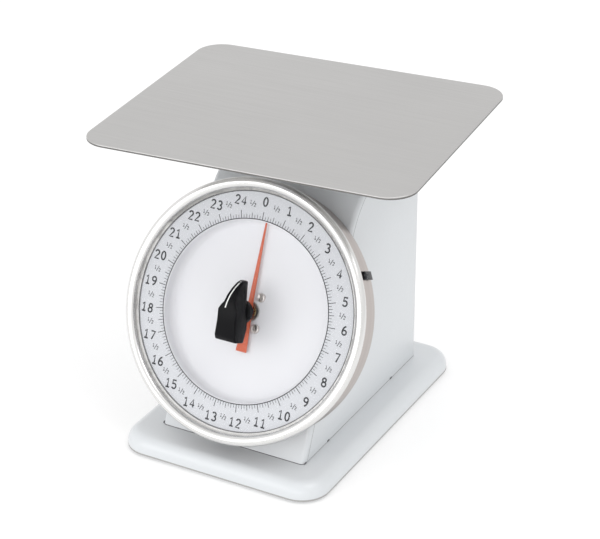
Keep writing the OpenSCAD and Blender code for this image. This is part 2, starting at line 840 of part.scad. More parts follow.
module rack_screws() {
    color("silver") placed() at_rack_screws() translate([0, 0, rack_ahead + rack_t / 2])
        pan_screw(small_screw_d, rack_ahead + rack_t / 2 + carriage_t / 8);
}

module platform() {
    color("lightgray") placed() translate([0, 0, platform_top - platform_lip]) rotate(platform_turned)
        pan(platform_w, platform_d, platform_corner, platform_lip, platform_sheet);
}

// Two crossed bars under the platform with a socket that drops over the post
module platform_spider() {
    top = platform_top - platform_sheet;
    color("slategray") placed() rotate(platform_turned) difference() {
        union() {
            translate([-spider_reach * platform_w / 2, -spider_bar_w / 2, top - spider_bar_h])
                cube([spider_reach * platform_w, spider_bar_w, spider_bar_h]);
            translate([-spider_bar_w / 2, -spider_reach * platform_d / 2, top - spider_bar_h])
                cube([spider_bar_w, spider_reach * platform_d, spider_bar_h]);
            rod(socket_d, top - spider_bar_h - socket_drop, top - spider_bar_h / 2);
        }
        rod(post_d + 2 * run_fit, top - spider_bar_h - socket_drop - cut, top - spider_bar_h + pass_gap);
    }
}

// Check lever: two arms on the hinge pin, a web between them, and slots over the carriage pin
module lever(pin_z, web_side) {
    tip = 9;
    tail = 7;
    slot_half = 1.5;
    web_front = 26;
    web_back = hinge_y - 14;
    rotate_about = [0, hinge_y, pin_z - lever_rise];
    placed() translate(rotate_about) rotate([-lever_angle, 0, 0]) difference() {
        union() {
            for (sx = [-1, 1])
                translate([sx * arm_x - frame_sheet / 2, -lever_len - tip, -lever_h / 2])
                    cube([frame_sheet, lever_len + tip + tail, lever_h]);
            translate([-arm_x, web_front - hinge_y, web_side * (lever_h - frame_sheet) / 2 - frame_sheet / 2])
                cube([2 * arm_x, web_back - web_front, frame_sheet]);
        }
        cross_hole(arm_x + frame_sheet, 0, 0, pin_d + 2 * run_fit);
        for (dy = [-slot_half, slot_half])
            cross_hole(arm_x + frame_sheet, -lever_len + dy, 0, pin_d + 2 * slot_fit);
        translate([-arm_x - frame_sheet, -lever_len - slot_half, -pin_d / 2 - slot_fit])
            cube([2 * arm_x + 2 * frame_sheet, 2 * slot_half, pin_d + 2 * slot_fit]);
    }
}

module upper_lever() {
    color("cadetblue") lever(upper_pin_z, -1);
}

module lower_lever() {
    color("cadetblue") lever(lower_pin_z, -1);
}

// Half angle of a pinion tooth at radius r, in degrees: an involute outside the base circle
function flank_angle(r) =
    let (base = pitch_r * cos(pressure), thick = tooth_pitch / 4 - backlash / 2,
        p = acos(min(1, base / r)), involute_at_pitch = tan(pressure) * 180 / PI - pressure)
    thick / pitch_r * 180 / PI + involute_at_pitch - (tan(p) * 180 / PI - p);

module pinion_outline() {
    root = pitch_r - pinion_dedendum * gear_module;
    tip = pitch_r + pinion_addendum * gear_module;
    foot = root - backlash;
    steps = 6;
    radii = [for (i = [0:steps]) foot + (tip - foot) * i / steps];
    circle(root);
    for (k = [0:pinion_teeth - 1])
        rotate(360 / pinion_teeth * (k + 0.5))
            polygon(concat(
                [for (i = [0:steps]) radii[i] * [cos(flank_angle(radii[i])), sin(flank_angle(radii[i]))]],
                [for (i = [steps:-1:0]) radii[i] * [cos(flank_angle(radii[i])), -sin(flank_angle(radii[i]))]]
            ));
}

module pinion_arbor() {
    color("goldenrod") placed() on_dial() {
        rod(arbor_d, -rear_plate_s - plate_t - 2, pointer_back + pointer_t + collar_t);
        translate([0, 0, -mesh_s - pinion_len / 2]) linear_extrude(pinion_len) pinion_outline();
    }
}

module pointer() {
    tip = dish_r - pointer_gap;
    tip_half = 0.5;
    waist = pointer_tail / 3;
    color("orangered") placed() on_dial() translate([0, 0, pointer_back]) linear_extrude(pointer_t)
        difference() {
            polygon([[-pointer_w / 2, -pointer_tail], [pointer_w / 2, -pointer_tail], [pointer_w / 4, waist],
                [tip_half, tip], [-tip_half, tip], [-pointer_w / 4, waist]]);
            circle(d = arbor_d + 2 * seat_fit);
        }
}

module pointer_collar() {
    back = pointer_back + pointer_t;
    color("goldenrod") placed() on_dial() sleeve(2 * collar_r, arbor_d + 2 * seat_fit, back, back + collar_t);
}

module dial_plate() {
    color("white") placed() on_dial() difference() {
        rotate_extrude($fn = 128) {
            translate([dish_r, dial_stand - dial_sheet]) square([dial_r - dish_r, dial_sheet]);
            translate([dish_r, dish_back]) square([dial_sheet, dish_depth + dial_sheet]);
            translate([dial_hole_r, dish_back]) square([dish_r + dial_sheet - dial_hole_r, dial_sheet]);
        }
        at_dial_screws() rod(small_screw_d + 2 * seat_fit, dish_back - cut, dish_front + cut);
    }
}

module dial_hub() {
    color("gray") placed() on_dial() difference() {
        union() {
            rod(2 * hub_flange_r, dish_back - hub_flange_t, dish_back);
            rod(2 * hub_sleeve_r, hub_back, dish_back);
        }
        rod(tube_d + 2 * run_fit, hub_back - cut, dish_back + cut);
        at_dial_screws() rod(small_screw_d + 2 * seat_fit, dish_back - hub_flange_t - cut, dish_back + cut);
    }
}

module dial_screws() {
    color("silver") placed() on_dial() at_dial_screws() translate([0, 0, dish_front])
        pan_screw(small_screw_d, dial_sheet + hub_flange_t - pass_gap);
}

// Ring that grips the edges of the dial and the lens and keeps them apart
module lens_ring() {
    grip = dial_r + seat_fit;
    color("black") placed() on_dial() rotate_extrude($fn = 128) {
        translate([dial_r - dial_rim, dial_stand]) square([dial_rim + seat_fit, ring_t]);
        translate([grip, dial_stand - dial_sheet]) square([ring_wall, dial_sheet + ring_t + lens_t]);
    }
}

module lens() {
    color("lightcyan") placed() on_dial() sleeve(2 * dial_r, screw_d + 2 * seat_fit, lens_back, lens_front);
}

// Knob seen along its axis: a round middle, a tapering beak upwards and a broad tail
module knob_outline() {
    beak_half = 2.5;
    tail_half = 9;
    shoulder = [7.4, 4.5];
    circle(knob_r);
    polygon([[-beak_half, beak_len], [beak_half, beak_len], shoulder, [tail_half, -tail_len],
        [-tail_half, -tail_len], [-shoulder[0], shoulder[1]]]);
}

// Knob seen from the side: (along the beak, height over the lens)
module knob_side() {
    polygon([[-tail_len, knob_hub_h], [-tail_len, knob_h * 0.72], [-tail_len * 0.85, knob_h * 0.84],
        [-tail_len * 0.3, knob_h], [beak_len * 0.3, knob_h], [beak_len * 0.75, knob_h * 0.78],
        [beak_len * 0.95, knob_h * 0.55], [beak_len, knob_h * 0.4], [beak_len, knob_hub_h]]);
}

module knob() {
    color("black") placed() on_dial() translate([0, 0, lens_front]) difference() {
        union() {
            rod(2 * knob_r, 0, knob_hub_h);
            intersection() {
                linear_extrude(knob_h) knob_outline();
                rotate([90, 0, 90]) linear_extrude(4 * knob_r, center = true) knob_side();
            }
        }
        rod(screw_d + 2 * seat_fit, -cut, knob_h / 2);
    }
}

module knob_screw() {
    color("silver") placed() on_dial() translate([0, 0, lens_back]) rotate([180, 0, 0])
        pan_screw(screw_d, knob_h / 2);
}

base_plate();
rubber_feet();
housing();
housing_screws();
housing_nuts();
frame();
frame_screws();
frame_nuts();
spring_beam();
beam_screws();
adjusting_screws();
adjusting_nuts();
left_spring();
right_spring();
upper_hinge_pin();
lower_hinge_pin();
dial_cup();
cup_screws();
bezel();
bezel_clips();
bezel_screws();
front_bearing_plate();
rear_bearing_plate();
bearing_pillars();
pillar_screws();
bearing_tube();
hub_clip();
carriage();
upper_carriage_pin();
lower_carriage_pin();
spring_arm();
platform_post();
rack();
rack_screws();
platform();
platform_spider();
upper_lever();
lower_lever();
pinion_arbor();
pointer();
pointer_collar();
dial_plate();
dial_hub();
dial_screws();
lens_ring();
lens();
knob();
knob_screw();
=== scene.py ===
"""Mechanical dial platform scale: its visible pieces and finishes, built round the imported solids."""

import json
import logging
import math
from abc import ABC, abstractmethod
from collections.abc import Callable, Iterable, Sequence
from dataclasses import dataclass, field
from enum import Enum
from typing import Any

import bmesh
import bpy
from bmesh.types import BMEdge, BMesh, BMVert
from mathutils import Matrix, Vector

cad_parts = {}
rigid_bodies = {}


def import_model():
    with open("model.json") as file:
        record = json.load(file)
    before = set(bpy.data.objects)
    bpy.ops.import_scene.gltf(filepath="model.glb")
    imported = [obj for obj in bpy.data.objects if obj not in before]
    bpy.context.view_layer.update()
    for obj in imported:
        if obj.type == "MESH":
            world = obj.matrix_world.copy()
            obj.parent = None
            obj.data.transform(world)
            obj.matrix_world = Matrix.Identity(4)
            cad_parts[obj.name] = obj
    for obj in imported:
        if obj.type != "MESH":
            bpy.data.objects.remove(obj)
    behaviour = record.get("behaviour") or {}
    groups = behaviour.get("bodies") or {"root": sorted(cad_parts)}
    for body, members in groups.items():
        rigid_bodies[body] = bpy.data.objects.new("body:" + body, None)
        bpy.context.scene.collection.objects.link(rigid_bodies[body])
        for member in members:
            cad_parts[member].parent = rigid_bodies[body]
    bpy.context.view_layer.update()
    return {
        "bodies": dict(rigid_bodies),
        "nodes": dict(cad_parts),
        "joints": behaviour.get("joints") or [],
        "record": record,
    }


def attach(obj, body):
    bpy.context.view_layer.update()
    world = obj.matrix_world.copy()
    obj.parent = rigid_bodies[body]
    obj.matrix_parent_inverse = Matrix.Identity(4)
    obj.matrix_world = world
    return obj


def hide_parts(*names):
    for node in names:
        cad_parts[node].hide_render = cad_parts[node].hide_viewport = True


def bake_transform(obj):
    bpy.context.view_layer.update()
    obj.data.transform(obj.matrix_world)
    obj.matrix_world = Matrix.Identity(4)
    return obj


LOG = logging.getLogger("dial_scale")
MM = 0.001
TINY = 1e-6  # metres within which two places are one
WELD = 1e-7  # metres within which corners of a turned section are joined
UPRIGHT = 0.35  # a face whose normal rises less than this stands upright
COAT_ROUGHNESS = 0.08
CLOUDS = 16.0  # broad variations of colour in a metre
BRUSHING = (0.012, 1.0, 1.0)  # how far a brushed grain is drawn out along X
MID_TONES = (0.3, 0.7)  # part of a noise's values that the gloss follows
WHITE = (1.0, 1.0, 1.0, 1.0)

Point = tuple[float, float]
Triple = tuple[float, float, float]
Sockets = dict[str | int, Any]  # output or value for each input of a node


class Grain(Enum):
    """Pattern that a finish's colour, gloss and bump follow."""

    SPECKLE = "fine even noise"
    BRUSHED = "long fine scratches from left to right"
    TURNED = "rings about the dial's axis"
    CAST = "coarse pitted skin"


class Body(Enum):
    """Bodies of the scale that a piece may ride on."""

    FRAME = "scale_frame"
    CARRIAGE = "carriage_unit"
    PLATFORM = "platform_unit"
    POINTER = "pointer_unit"
    DIAL = "dial_unit"


@dataclass(frozen=True)
class DialPlace:
    """Where the leaning dial stands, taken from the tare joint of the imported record."""

    origin: Vector  # point on the housing's face at the dial's axis, in metres
    normal: Vector  # unit vector out of the face

    @classmethod
    def from_record(cls, record: dict[str, Any]) -> "DialPlace":
        """Reads the dial's axis.

        Args:
            record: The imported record.

        Returns:
            The dial's place.
        """
        tare = next(j for j in record["behaviour"]["joints"] if j["name"] == "tare_turn")
        return cls(Vector(tare["pos_m"]), Vector(tare["axis"]).normalized())

    def height(self, point: Vector) -> float:
        """Returns the height of a point over the housing's face, in mm."""
        return (point - self.origin).dot(self.normal) / MM

    def radius(self, point: Vector) -> float:
        """Returns the distance of a point from the dial's axis, in mm."""
        arm = point - self.origin
        return (arm - arm.dot(self.normal) * self.normal).length / MM

    def matrix(self) -> Matrix:
        """Gives the dial's own frame: right, up the face and out of the face.

        Returns:
            The matrix from it to the row frame.
        """
        across = Vector((1.0, 0.0, 0.0))
        turn = Matrix((across, self.normal.cross(across), self.normal)).transposed().to_4x4()
        return Matrix.Translation(self.origin) @ turn


def fill(tree: bpy.types.NodeTree, node: bpy.types.Node, sockets: Sockets) -> None:
    """Feeds a node's inputs: an output is linked, and any other value is set on the socket itself.

    Args:
        tree: Node tree that holds the node.
        node: The node.
        sockets: Output or value for each input.
    """
    for name, value in sockets.items():
        if isinstance(value, bpy.types.NodeSocket):
            tree.links.new(value, node.inputs[name])
        else:
            node.inputs[name].default_value = value


def add(tree: bpy.types.NodeTree, kind: str, sockets: Sockets, **settings: Any) -> bpy.types.Node:
    """Adds a shader node.

    Args:
        tree: Node tree to add it to.
        kind: Its type, without the words that all types start with.
        sockets: Output or value for each input.
        settings: Its other settings.

    Returns:
        The node.
    """
    node = tree.nodes.new(f"ShaderNode{kind}")
    for name, value in settings.items():
        setattr(node, name, value)
    fill(tree, node, sockets)
    return node


@dataclass(frozen=True)
class Finish:
    """One procedural finish."""

    colour: Triple  # linear base colour
    shade: float  # how far the pattern darkens the colour, from 0 to 1
    roughness: Point  # lowest and highest over the pattern
    scale: float  # features of the pattern in a metre
    bump: float  # height of the pattern in mm
    metallic: float = 0.0
    grain: Grain = Grain.SPECKLE
    coat: float = 0.0  # weight of a clear coat
    alpha: float = 1.0
    specular: float = 0.5
    anisotropic: float = 0.0  # stretch of the highlight across a brushed grain

    def make(self, name: str, dial: DialPlace) -> bpy.types.Material:
        """Makes the material.

        Args:
            name: Name of the material.
            dial: Place of the dial, for turned rings.

        Returns:
            The material.
        """
        material = bpy.data.materials.new(name)
        material.use_nodes = True
        tree = material.node_tree
        fine = self._pattern(tree, dial)
        gloss = {"Value": fine}
        gloss["From Min"], gloss["From Max"] = MID_TONES
        gloss["To Min"], gloss["To Max"] = self.roughness
        relief = {"Strength": 1.0, "Distance": self.bump * MM, "Height": fine}
        sockets = {
            "Base Color": self._tint(tree, fine),
            "Roughness": add(tree, "MapRange", gloss).outputs["Result"],
            "Normal": add(tree, "Bump", relief).outputs["Normal"],
            "Metallic": self.metallic,
            "Coat Weight": self.coat,
            "Coat Roughness": COAT_ROUGHNESS,
            "Alpha": self.alpha,
            "Specular IOR Level": self.specular,
            "Anisotropic": self.anisotropic,
        }
        fill(tree, tree.nodes["Principled BSDF"], sockets)
        return material

    def _pattern(self, tree: bpy.types.NodeTree, dial: DialPlace) -> bpy.types.NodeSocket:
        """Adds the fine pattern.

        Args:
            tree: Node tree of the material.
            dial: Place of the dial.

        Returns:
            A value from 0 to 1.
        """
        place = add(tree, "TexCoord", {}).outputs["Object"]
        if self.grain is Grain.BRUSHED:
            place = add(tree, "Mapping", {"Vector": place, "Scale": BRUSHING}).outputs["Vector"]
        elif self.grain is Grain.TURNED:
            place = self._rings(tree, place, dial)
        detail = 6.0 if self.grain is Grain.CAST else 3.0
        return add(tree, "TexNoise", {"Vector": place, "Scale": self.scale, "Detail": detail}).outputs["Fac"]

    def _rings(
        self, tree: bpy.types.NodeTree, place: bpy.types.NodeSocket, dial: DialPlace
    ) -> bpy.types.NodeSocket:
        """Turns places into (radius, 0, height) about the dial's axis, so that a noise makes rings.

        Args:
            tree: Node tree of the material.
            place: Places in the row frame.
            dial: Place of the dial.

        Returns:
            The new places.
        """
        own = {"Vector": place, "Location": dial.origin, "Rotation": dial.matrix().to_euler()}
        mapping = add(tree, "Mapping", own, vector_type="TEXTURE")
        split = add(tree, "SeparateXYZ", {"Vector": mapping.outputs["Vector"]}).outputs
        flat = add(tree, "CombineXYZ", {"X": split["X"], "Y": split["Y"]}).outputs["Vector"]
        radius = add(tree, "VectorMath", {0: flat}, operation="LENGTH").outputs["Value"]
        return add(tree, "CombineXYZ", {"X": radius, "Z": split["Z"]}).outputs["Vector"]

    def _tint(self, tree: bpy.types.NodeTree, fine: bpy.types.NodeSocket) -> bpy.types.NodeSocket:
        """Adds the colour, darkened by the fine pattern and by broad clouds.

        Args:
            tree: Node tree of the material.
            fine: Fine pattern.

        Returns:
            The colour.
        """
        place = add(tree, "TexCoord", {}).outputs["Object"]
        cloud = add(tree, "TexNoise", {"Vector": place, "Scale": CLOUDS, "Detail": 2.0}).outputs["Fac"]
        both = add(tree, "Math", {0: fine, 1: cloud}, operation="MULTIPLY").outputs["Value"]
        dark = tuple(c * (1.0 - 2.0 * self.shade) for c in self.colour)
        ends = {"A": (*self.colour, 1.0), "B": (*dark, 1.0), "Factor": both}
        return add(tree, "Mix", ends, data_type="RGBA").outputs["Result"]


class Look(Enum):
    """Finish of each material slot in the record, and of the details on the pieces."""

    WHITE_ENAMEL = Finish((0.645, 0.667, 0.686), 0.02, (0.28, 0.36), 420.0, 0.006, coat=0.2)
    PLATFORM_STAINLESS = Finish(
        (0.545, 0.538, 0.531), 0.05, (0.34, 0.46), 1500.0, 0.004, 1.0, Grain.BRUSHED, anisotropic=0.3
    )
    BEZEL_STAINLESS = Finish((0.76, 0.755, 0.745), 0.04, (0.24, 0.32), 900.0, 0.001, 1.0, Grain.TURNED)
    # Also on the bezel's plain side below its bead, where it is a painted darker reflection.
    CUP_STEEL = Finish((0.50, 0.455, 0.435), 0.10, (0.28, 0.40), 900.0, 0.004, 1.0, Grain.TURNED)
    # Lower band of the platform's lip: a rough cut edge, darkened as painted shade.
    CUT_EDGE = Finish((0.20, 0.195, 0.19), 0.15, (0.4, 0.55), 1500.0, 0.004, 1.0, Grain.BRUSHED)
    # Painted shadow: the darker front and notches of the joint line round the housing's foot.
    SEAM_SHADOW = Finish((0.15, 0.15, 0.16), 0.2, (0.6, 0.75), 900.0, 0.01)
    # Grey line: the real fold lines on the housing's sides, and the painted gap shadow round its foot.
    JOINT_LINE = Finish((0.36, 0.365, 0.37), 0.1, (0.5, 0.65), 900.0, 0.006)
    # Painted shadow under the base pan's lower edge.
    PAN_HEM = Finish((0.38, 0.375, 0.365), 0.15, (0.5, 0.65), 700.0, 0.01)
    BRIGHT_SCREW = Finish((0.66, 0.62, 0.60), 0.15, (0.25, 0.38), 1100.0, 0.005, 1.0)
    BLUED_STEEL = Finish((0.035, 0.035, 0.04), 0.2, (0.3, 0.42), 1100.0, 0.004, 1.0)
    DIAL_ENAMEL = Finish((0.735, 0.738, 0.766), 0.015, (0.34, 0.42), 900.0, 0.003)
    NUMBER_RING = Finish((0.590, 0.602, 0.633), 0.02, (0.36, 0.44), 900.0, 0.003)
    DIAL_INK = Finish((0.035, 0.036, 0.042), 0.2, (0.5, 0.65), 2500.0, 0.004)
    CLEAR_LENS = Finish((0.30, 0.31, 0.32), 0.0, (0.02, 0.04), 60.0, 0.0, alpha=0.02)
    RING_RUBBER = Finish((0.20, 0.20, 0.205), 0.1, (0.55, 0.7), 1800.0, 0.01)
    LENS_SEAT = Finish((0.80, 0.79, 0.775), 0.06, (0.4, 0.5), 900.0, 0.004)
    BLACK_PLASTIC = Finish((0.005, 0.005, 0.006), 0.2, (0.26, 0.38), 1400.0, 0.006, specular=0.1)
    WHITE_LINE = Finish((0.78, 0.78, 0.76), 0.05, (0.4, 0.5), 1500.0, 0.004)
    POINTER_ORANGE = Finish((0.60, 0.115, 0.05), 0.06, (0.35, 0.45), 1200.0, 0.004)
    FOOT_RUBBER = Finish((0.035, 0.035, 0.036), 0.2, (0.6, 0.75), 900.0, 0.03)
    CAST_ALUMINIUM = Finish((0.52, 0.52, 0.53), 0.15, (0.42, 0.6), 500.0, 0.05, 1.0, Grain.CAST)
    MOVEMENT_BRASS = Finish((0.66, 0.46, 0.17), 0.1, (0.2, 0.32), 1200.0, 0.004, 1.0, Grain.BRUSHED)
    ZINC_STEEL = Finish((0.62, 0.62, 0.60), 0.15, (0.24, 0.38), 900.0, 0.006, 1.0)
    SPRING_STEEL = Finish((0.42, 0.42, 0.44), 0.12, (0.24, 0.36), 1300.0, 0.004, 1.0)
    HUB_PLASTIC = Finish((0.55, 0.55, 0.54), 0.08, (0.45, 0.55), 900.0, 0.01)
    FRAME_STEEL = Finish((0.20, 0.215, 0.235), 0.1, (0.5, 0.62), 600.0, 0.02)

    def material(self, dial: DialPlace) -> bpy.types.Material:
        """Makes the material once and gives it back after that.

        Args:
            dial: Place of the dial, for turned rings.

        Returns:
            The material.
        """
        name = f"{self.name.lower()}_finish"
        return bpy.data.materials.get(name) or self.value.make(name, dial)


Accent = tuple[Look, Callable[[bpy.types.MeshPolygon], bool]]


def arc(centre: Point, radius: float, start: float, stop: float, count: int) -> list[Point]:
    """Gives points along an arc of a section.

    Args:
        centre: Centre of the arc, in mm.
        radius: Radius in mm.
        start: First angle in degrees.
        stop: Last angle in degrees.
        count: Number of steps.

    Returns:
        The points, both ends included.
    """
    angles = [math.radians(start + (stop - start) * i / count) for i in range(count + 1)]
    return [(centre[0] + radius * math.cos(a), centre[1] + radius * math.sin(a)) for a in angles]


def read_line(points: Sequence[Point], place: float) -> float:
    """Reads the height of a line of (place, height) points, which is level before its first point.

    Args:
        points: Points in order of their places.
        place: Where to read it.

    Returns:
        The height there.
    """
    for (u0, v0), (u1, v1) in zip(points, points[1:]):
        if place <= u1:
            return v0 + (v1 - v0) * max(0.0, place - u0) / max(TINY, u1 - u0)
    return points[-1][1]


def put(name: str, data: Any) -> bpy.types.Object:
    """Puts data into the scene as an object.

    Args:
        name: Name of the object.
        data: A mesh, curve, camera or light.

    Returns:
        The object.
    """
    obj = bpy.data.objects.new(name, data)
    bpy.context.scene.collection.objects.link(obj)
    return obj


def mesh_from(name: str, bm: BMesh) -> bpy.types.Mesh:
    """Makes an edit mesh a mesh, and frees it.

    Args:
        name: Name of the mesh.
        bm: The edit mesh.

    Returns:
        The mesh.
    """
    mesh = bpy.data.meshes.new(name)
    bm.to_mesh(mesh)
    bm.free()
    return mesh


def edit_mesh(mesh: bpy.types.Mesh) -> BMesh:
    """Makes a mesh an edit mesh, and removes it.

    Args:
        mesh: The mesh.

    Returns:
        The edit mesh.
    """
    bm = bmesh.new()
    bm.from_mesh(mesh)
    bpy.data.meshes.remove(mesh)
    return bm


def mesh_of(obj: bpy.types.Object) -> bpy.types.Mesh:
    """Applies an object's modifiers or a curve's roundness, and removes the object.

    Args:
        obj: The object.

    Returns:
        Its finished mesh.
    """
    graph = bpy.context.evaluated_depsgraph_get()
    mesh = bpy.data.meshes.new_from_object(obj.evaluated_get(graph), depsgraph=graph)
    bpy.data.objects.remove(obj, do_unlink=True)
    return mesh


def moved(bm: BMesh, *shift: float) -> BMesh:
    """Shifts a mesh along X, Y and Z, in mm, and returns it."""
    bmesh.ops.translate(bm, vec=Vector(shift) * MM, verts=bm.verts)
    return bm


def run(edge: BMEdge, axis: int) -> float:
    """Returns how far an edge runs along an axis, in metres."""
    return abs(edge.verts[0].co[axis] - edge.verts[1].co[axis])


def at_height(part: Any, z: float) -> bool:
    """Tells whether all corners of an edge or a face lie at a height in mm."""
    return all(abs(v.co.z - z * MM) < TINY for v in part.verts)


def open_at(bm: BMesh, z: float) -> BMesh:
    """Deletes the faces that lie at a height in mm and returns the mesh."""
    bmesh.ops.delete(bm, geom=[f for f in bm.faces if at_height(f, z)], context="FACES")
    return bm


def bevel(bm: BMesh, edges: Iterable[BMEdge], offset: float, segments: int) -> None:
    """Rounds edges.

    Args:
        bm: The mesh.
        edges: Edges to be rounded.
        offset: Distance from the edge to the end of the rounding, in mm.
        segments: Number of steps.
    """
    bmesh.ops.bevel(
        bm,
        geom=list(edges),
        offset=offset * MM,
        offset_type="OFFSET",
        affect="EDGES",
        segments=segments,
        profile=0.5,
        material=-1,
        clamp_overlap=True,
    )


def spun(section: Sequence[Point], steps: int) -> BMesh:
    """Turns a closed section of (radius, height) points about the Z axis.

    Args:
        section: Points in mm, in order round the section.
        steps: Number of steps round the axis.

    Returns:
        A closed mesh in metres.
    """
    bm = bmesh.new()
    verts = [bm.verts.new((r * MM, 0.0, z * MM)) for r, z in section]
    edges = [bm.edges.new((a, b)) for a, b in zip(verts, verts[1:] + verts[:1]) if a.co.x + b.co.x > 0]
    bmesh.ops.spin(
        bm, geom=verts + edges, cent=(0, 0, 0), axis=(0, 0, 1), angle=math.tau, steps=steps, use_merge=True
    )
    bmesh.ops.remove_doubles(bm, verts=bm.verts, dist=WELD)
    bmesh.ops.recalc_face_normals(bm, faces=bm.faces)
    return bm


def prism(outline: Sequence[Triple], shift: Triple) -> BMesh:
    """Draws a flat outline out into a closed block.

    Args:
        outline: Points in mm.
        shift: How far it is drawn out, in mm.

    Returns:
        The block.
    """
    bm = bmesh.new()
    face = bm.faces.new([bm.verts.new(Vector(point) * MM) for point in outline])
    grown = bmesh.ops.extrude_face_region(bm, geom=[face])["geom"]
    bmesh.ops.translate(bm, vec=Vector(shift) * MM, verts=[g for g in grown if isinstance(g, BMVert)])
    bmesh.ops.recalc_face_normals(bm, faces=bm.faces)
    return bm


def box_mesh(low: Sequence[float], high: Sequence[float], edge: float = 0.0) -> BMesh:
    """Makes a box between two corners, with rounded edges.

    Args:
        low: Lowest corner in mm.
        high: Highest corner in mm.
        edge: Radius of its edges in mm.

    Returns:
        The box.
    """
    bm = bmesh.new()
    bmesh.ops.create_cube(bm, size=1.0)
    a, b = Vector(low) * MM, Vector(high) * MM
    bmesh.ops.scale(bm, vec=b - a, verts=bm.verts)
    bmesh.ops.translate(bm, vec=(a + b) / 2, verts=bm.verts)
    if edge:
        bevel(bm, bm.edges, edge, 2)
    return bm


def rounded_slab(size: Point, low: float, high: float, corner: float, segments: int = 12) -> BMesh:
    """Makes a closed slab with round corners in plan.

    Args:
        size: Size along X and Y, in mm.
        low: Height of the underside, in mm.
        high: Height of the top, in mm.
        corner: Radius of the corners in plan, in mm.
        segments: Steps round a corner.

    Returns:
        The slab, centred on the Z axis.
    """
    x, y = size[0] / 2, size[1] / 2
    bm = box_mesh((-x, -y, low), (x, y, high))
    bevel(bm, [e for e in bm.edges if run(e, 2) > TINY], corner, segments)
    return bm


def strip(size: Point, low: float, high: float, corner: float) -> BMesh:
    """Makes an upright band with round corners in plan, open above and below.

    Args:
        size: Size along X and Y, in mm.
        low: Height of its lower edge, in mm.
        high: Height of its upper edge, in mm.
        corner: Radius of the corners in plan, in mm.

    Returns:
        The band as an open sheet, centred on the Z axis.
    """
    return open_at(open_at(rounded_slab(size, low, high, corner), low), high)


def joined(parts: Iterable[tuple[BMesh, Matrix]]) -> BMesh:
    """Puts several meshes into one, each at its place, and frees them.

    Args:
        parts: Meshes with their matrices.

    Returns:
        One mesh.
    """
    whole = bmesh.new()
    for part, matrix in parts:
        part.transform(matrix)
        scratch = mesh_from("scratch", part)
        whole.from_mesh(scratch)
        bpy.data.meshes.remove(scratch)
    return whole


def wires(lines: Iterable[Sequence[Sequence[float]]], radius: float, sides: int = 1) -> BMesh:
    """Draws round wires along lines of points.

    Args:
        lines: Lines of points in mm, each one wire.
        radius: Radius of the wires in mm.
        sides: Roundness of the wires.

    Returns:
        The wires as one mesh.
    """
    curve = bpy.data.curves.new("wire", "CURVE")
    curve.dimensions = "3D"
    curve.bevel_depth = radius * MM
    curve.bevel_resolution = sides
    curve.use_fill_caps = True
    for line in lines:
        spline = curve.splines.new("POLY")
        spline.points.add(len(line) - 1)
        for point, place in zip(spline.points, line):
            point.co = (*(Vector(place) * MM), 1.0)
    bm = edit_mesh(mesh_of(put("wire", curve)))
    bpy.data.curves.remove(curve)
    return bm


def walled(bm: BMesh, thickness: float, cutters: Sequence[BMesh] = ()) -> bpy.types.Mesh:
    """Gives an open sheet its thickness inwards, then cuts holes.

    Args:
        bm: The sheet, its faces outwards.
        thickness: Wall in mm.
        cutters: Closed meshes to cut with.

    Returns:
        The finished mesh.
    """
    obj = put("sheet", mesh_from("sheet", bm))
    wall = obj.modifiers.new("wall", "SOLIDIFY")
    wall.thickness, wall.offset, wall.use_even_offset = thickness * MM, -1.0, True
    tools = [put("cutter", mesh_from("cutter", cutter)) for cutter in cutters]
    for tool in tools:
        cut = obj.modifiers.new("cut", "BOOLEAN")
        cut.operation, cut.solver, cut.object = "DIFFERENCE", "EXACT", tool
    mesh = mesh_of(obj)
    for tool in tools:
        bpy.data.objects.remove(tool, do_unlink=True)
    return mesh


def pan_screw(radius: float, length: float, head: float = 3.0) -> BMesh:
    """Makes a pan-head screw with a slot, its seat at z = 0 and its shank downwards.

    Args:
        radius: Radius of the shank in mm.
        length: Length of the shank in mm.
        head: Radius of the head in mm.

    Returns:
        The screw.
    """
    high, edge = 1.2 * radius, 0.3
    soft, crown = 0.55 * high, 0.35 * head
    slot, slot_floor = 0.28 * radius * MM, 0.45 * high * MM
    section = [
        (0, -length), (radius - edge, -length), (radius, edge - length), (radius, 0), (head, 0),
        *arc((head - soft, 0.4 * high), soft, 0, 75, 5), (crown, high), (0, high),
    ]
    bm = spun(section, 40)
    for side in (-slot, slot):
        geom = bm.verts[:] + bm.edges[:] + bm.faces[:]
        bmesh.ops.bisect_plane(bm, geom=geom, plane_co=(0, side, 0), plane_no=(0, 1, 0))
    floor = [f for f in bm.faces if f.normal.z > 0.2 and abs(f.calc_center_median().y) < slot]
    deep = bmesh.ops.extrude_face_region(bm, geom=floor)["geom"]
    bmesh.ops.delete(bm, geom=floor, context="FACES")
    for vert in deep:
        if isinstance(vert, BMVert):
            vert.co.z = slot_floor
    bmesh.ops.recalc_face_normals(bm, faces=bm.faces)
    return bm


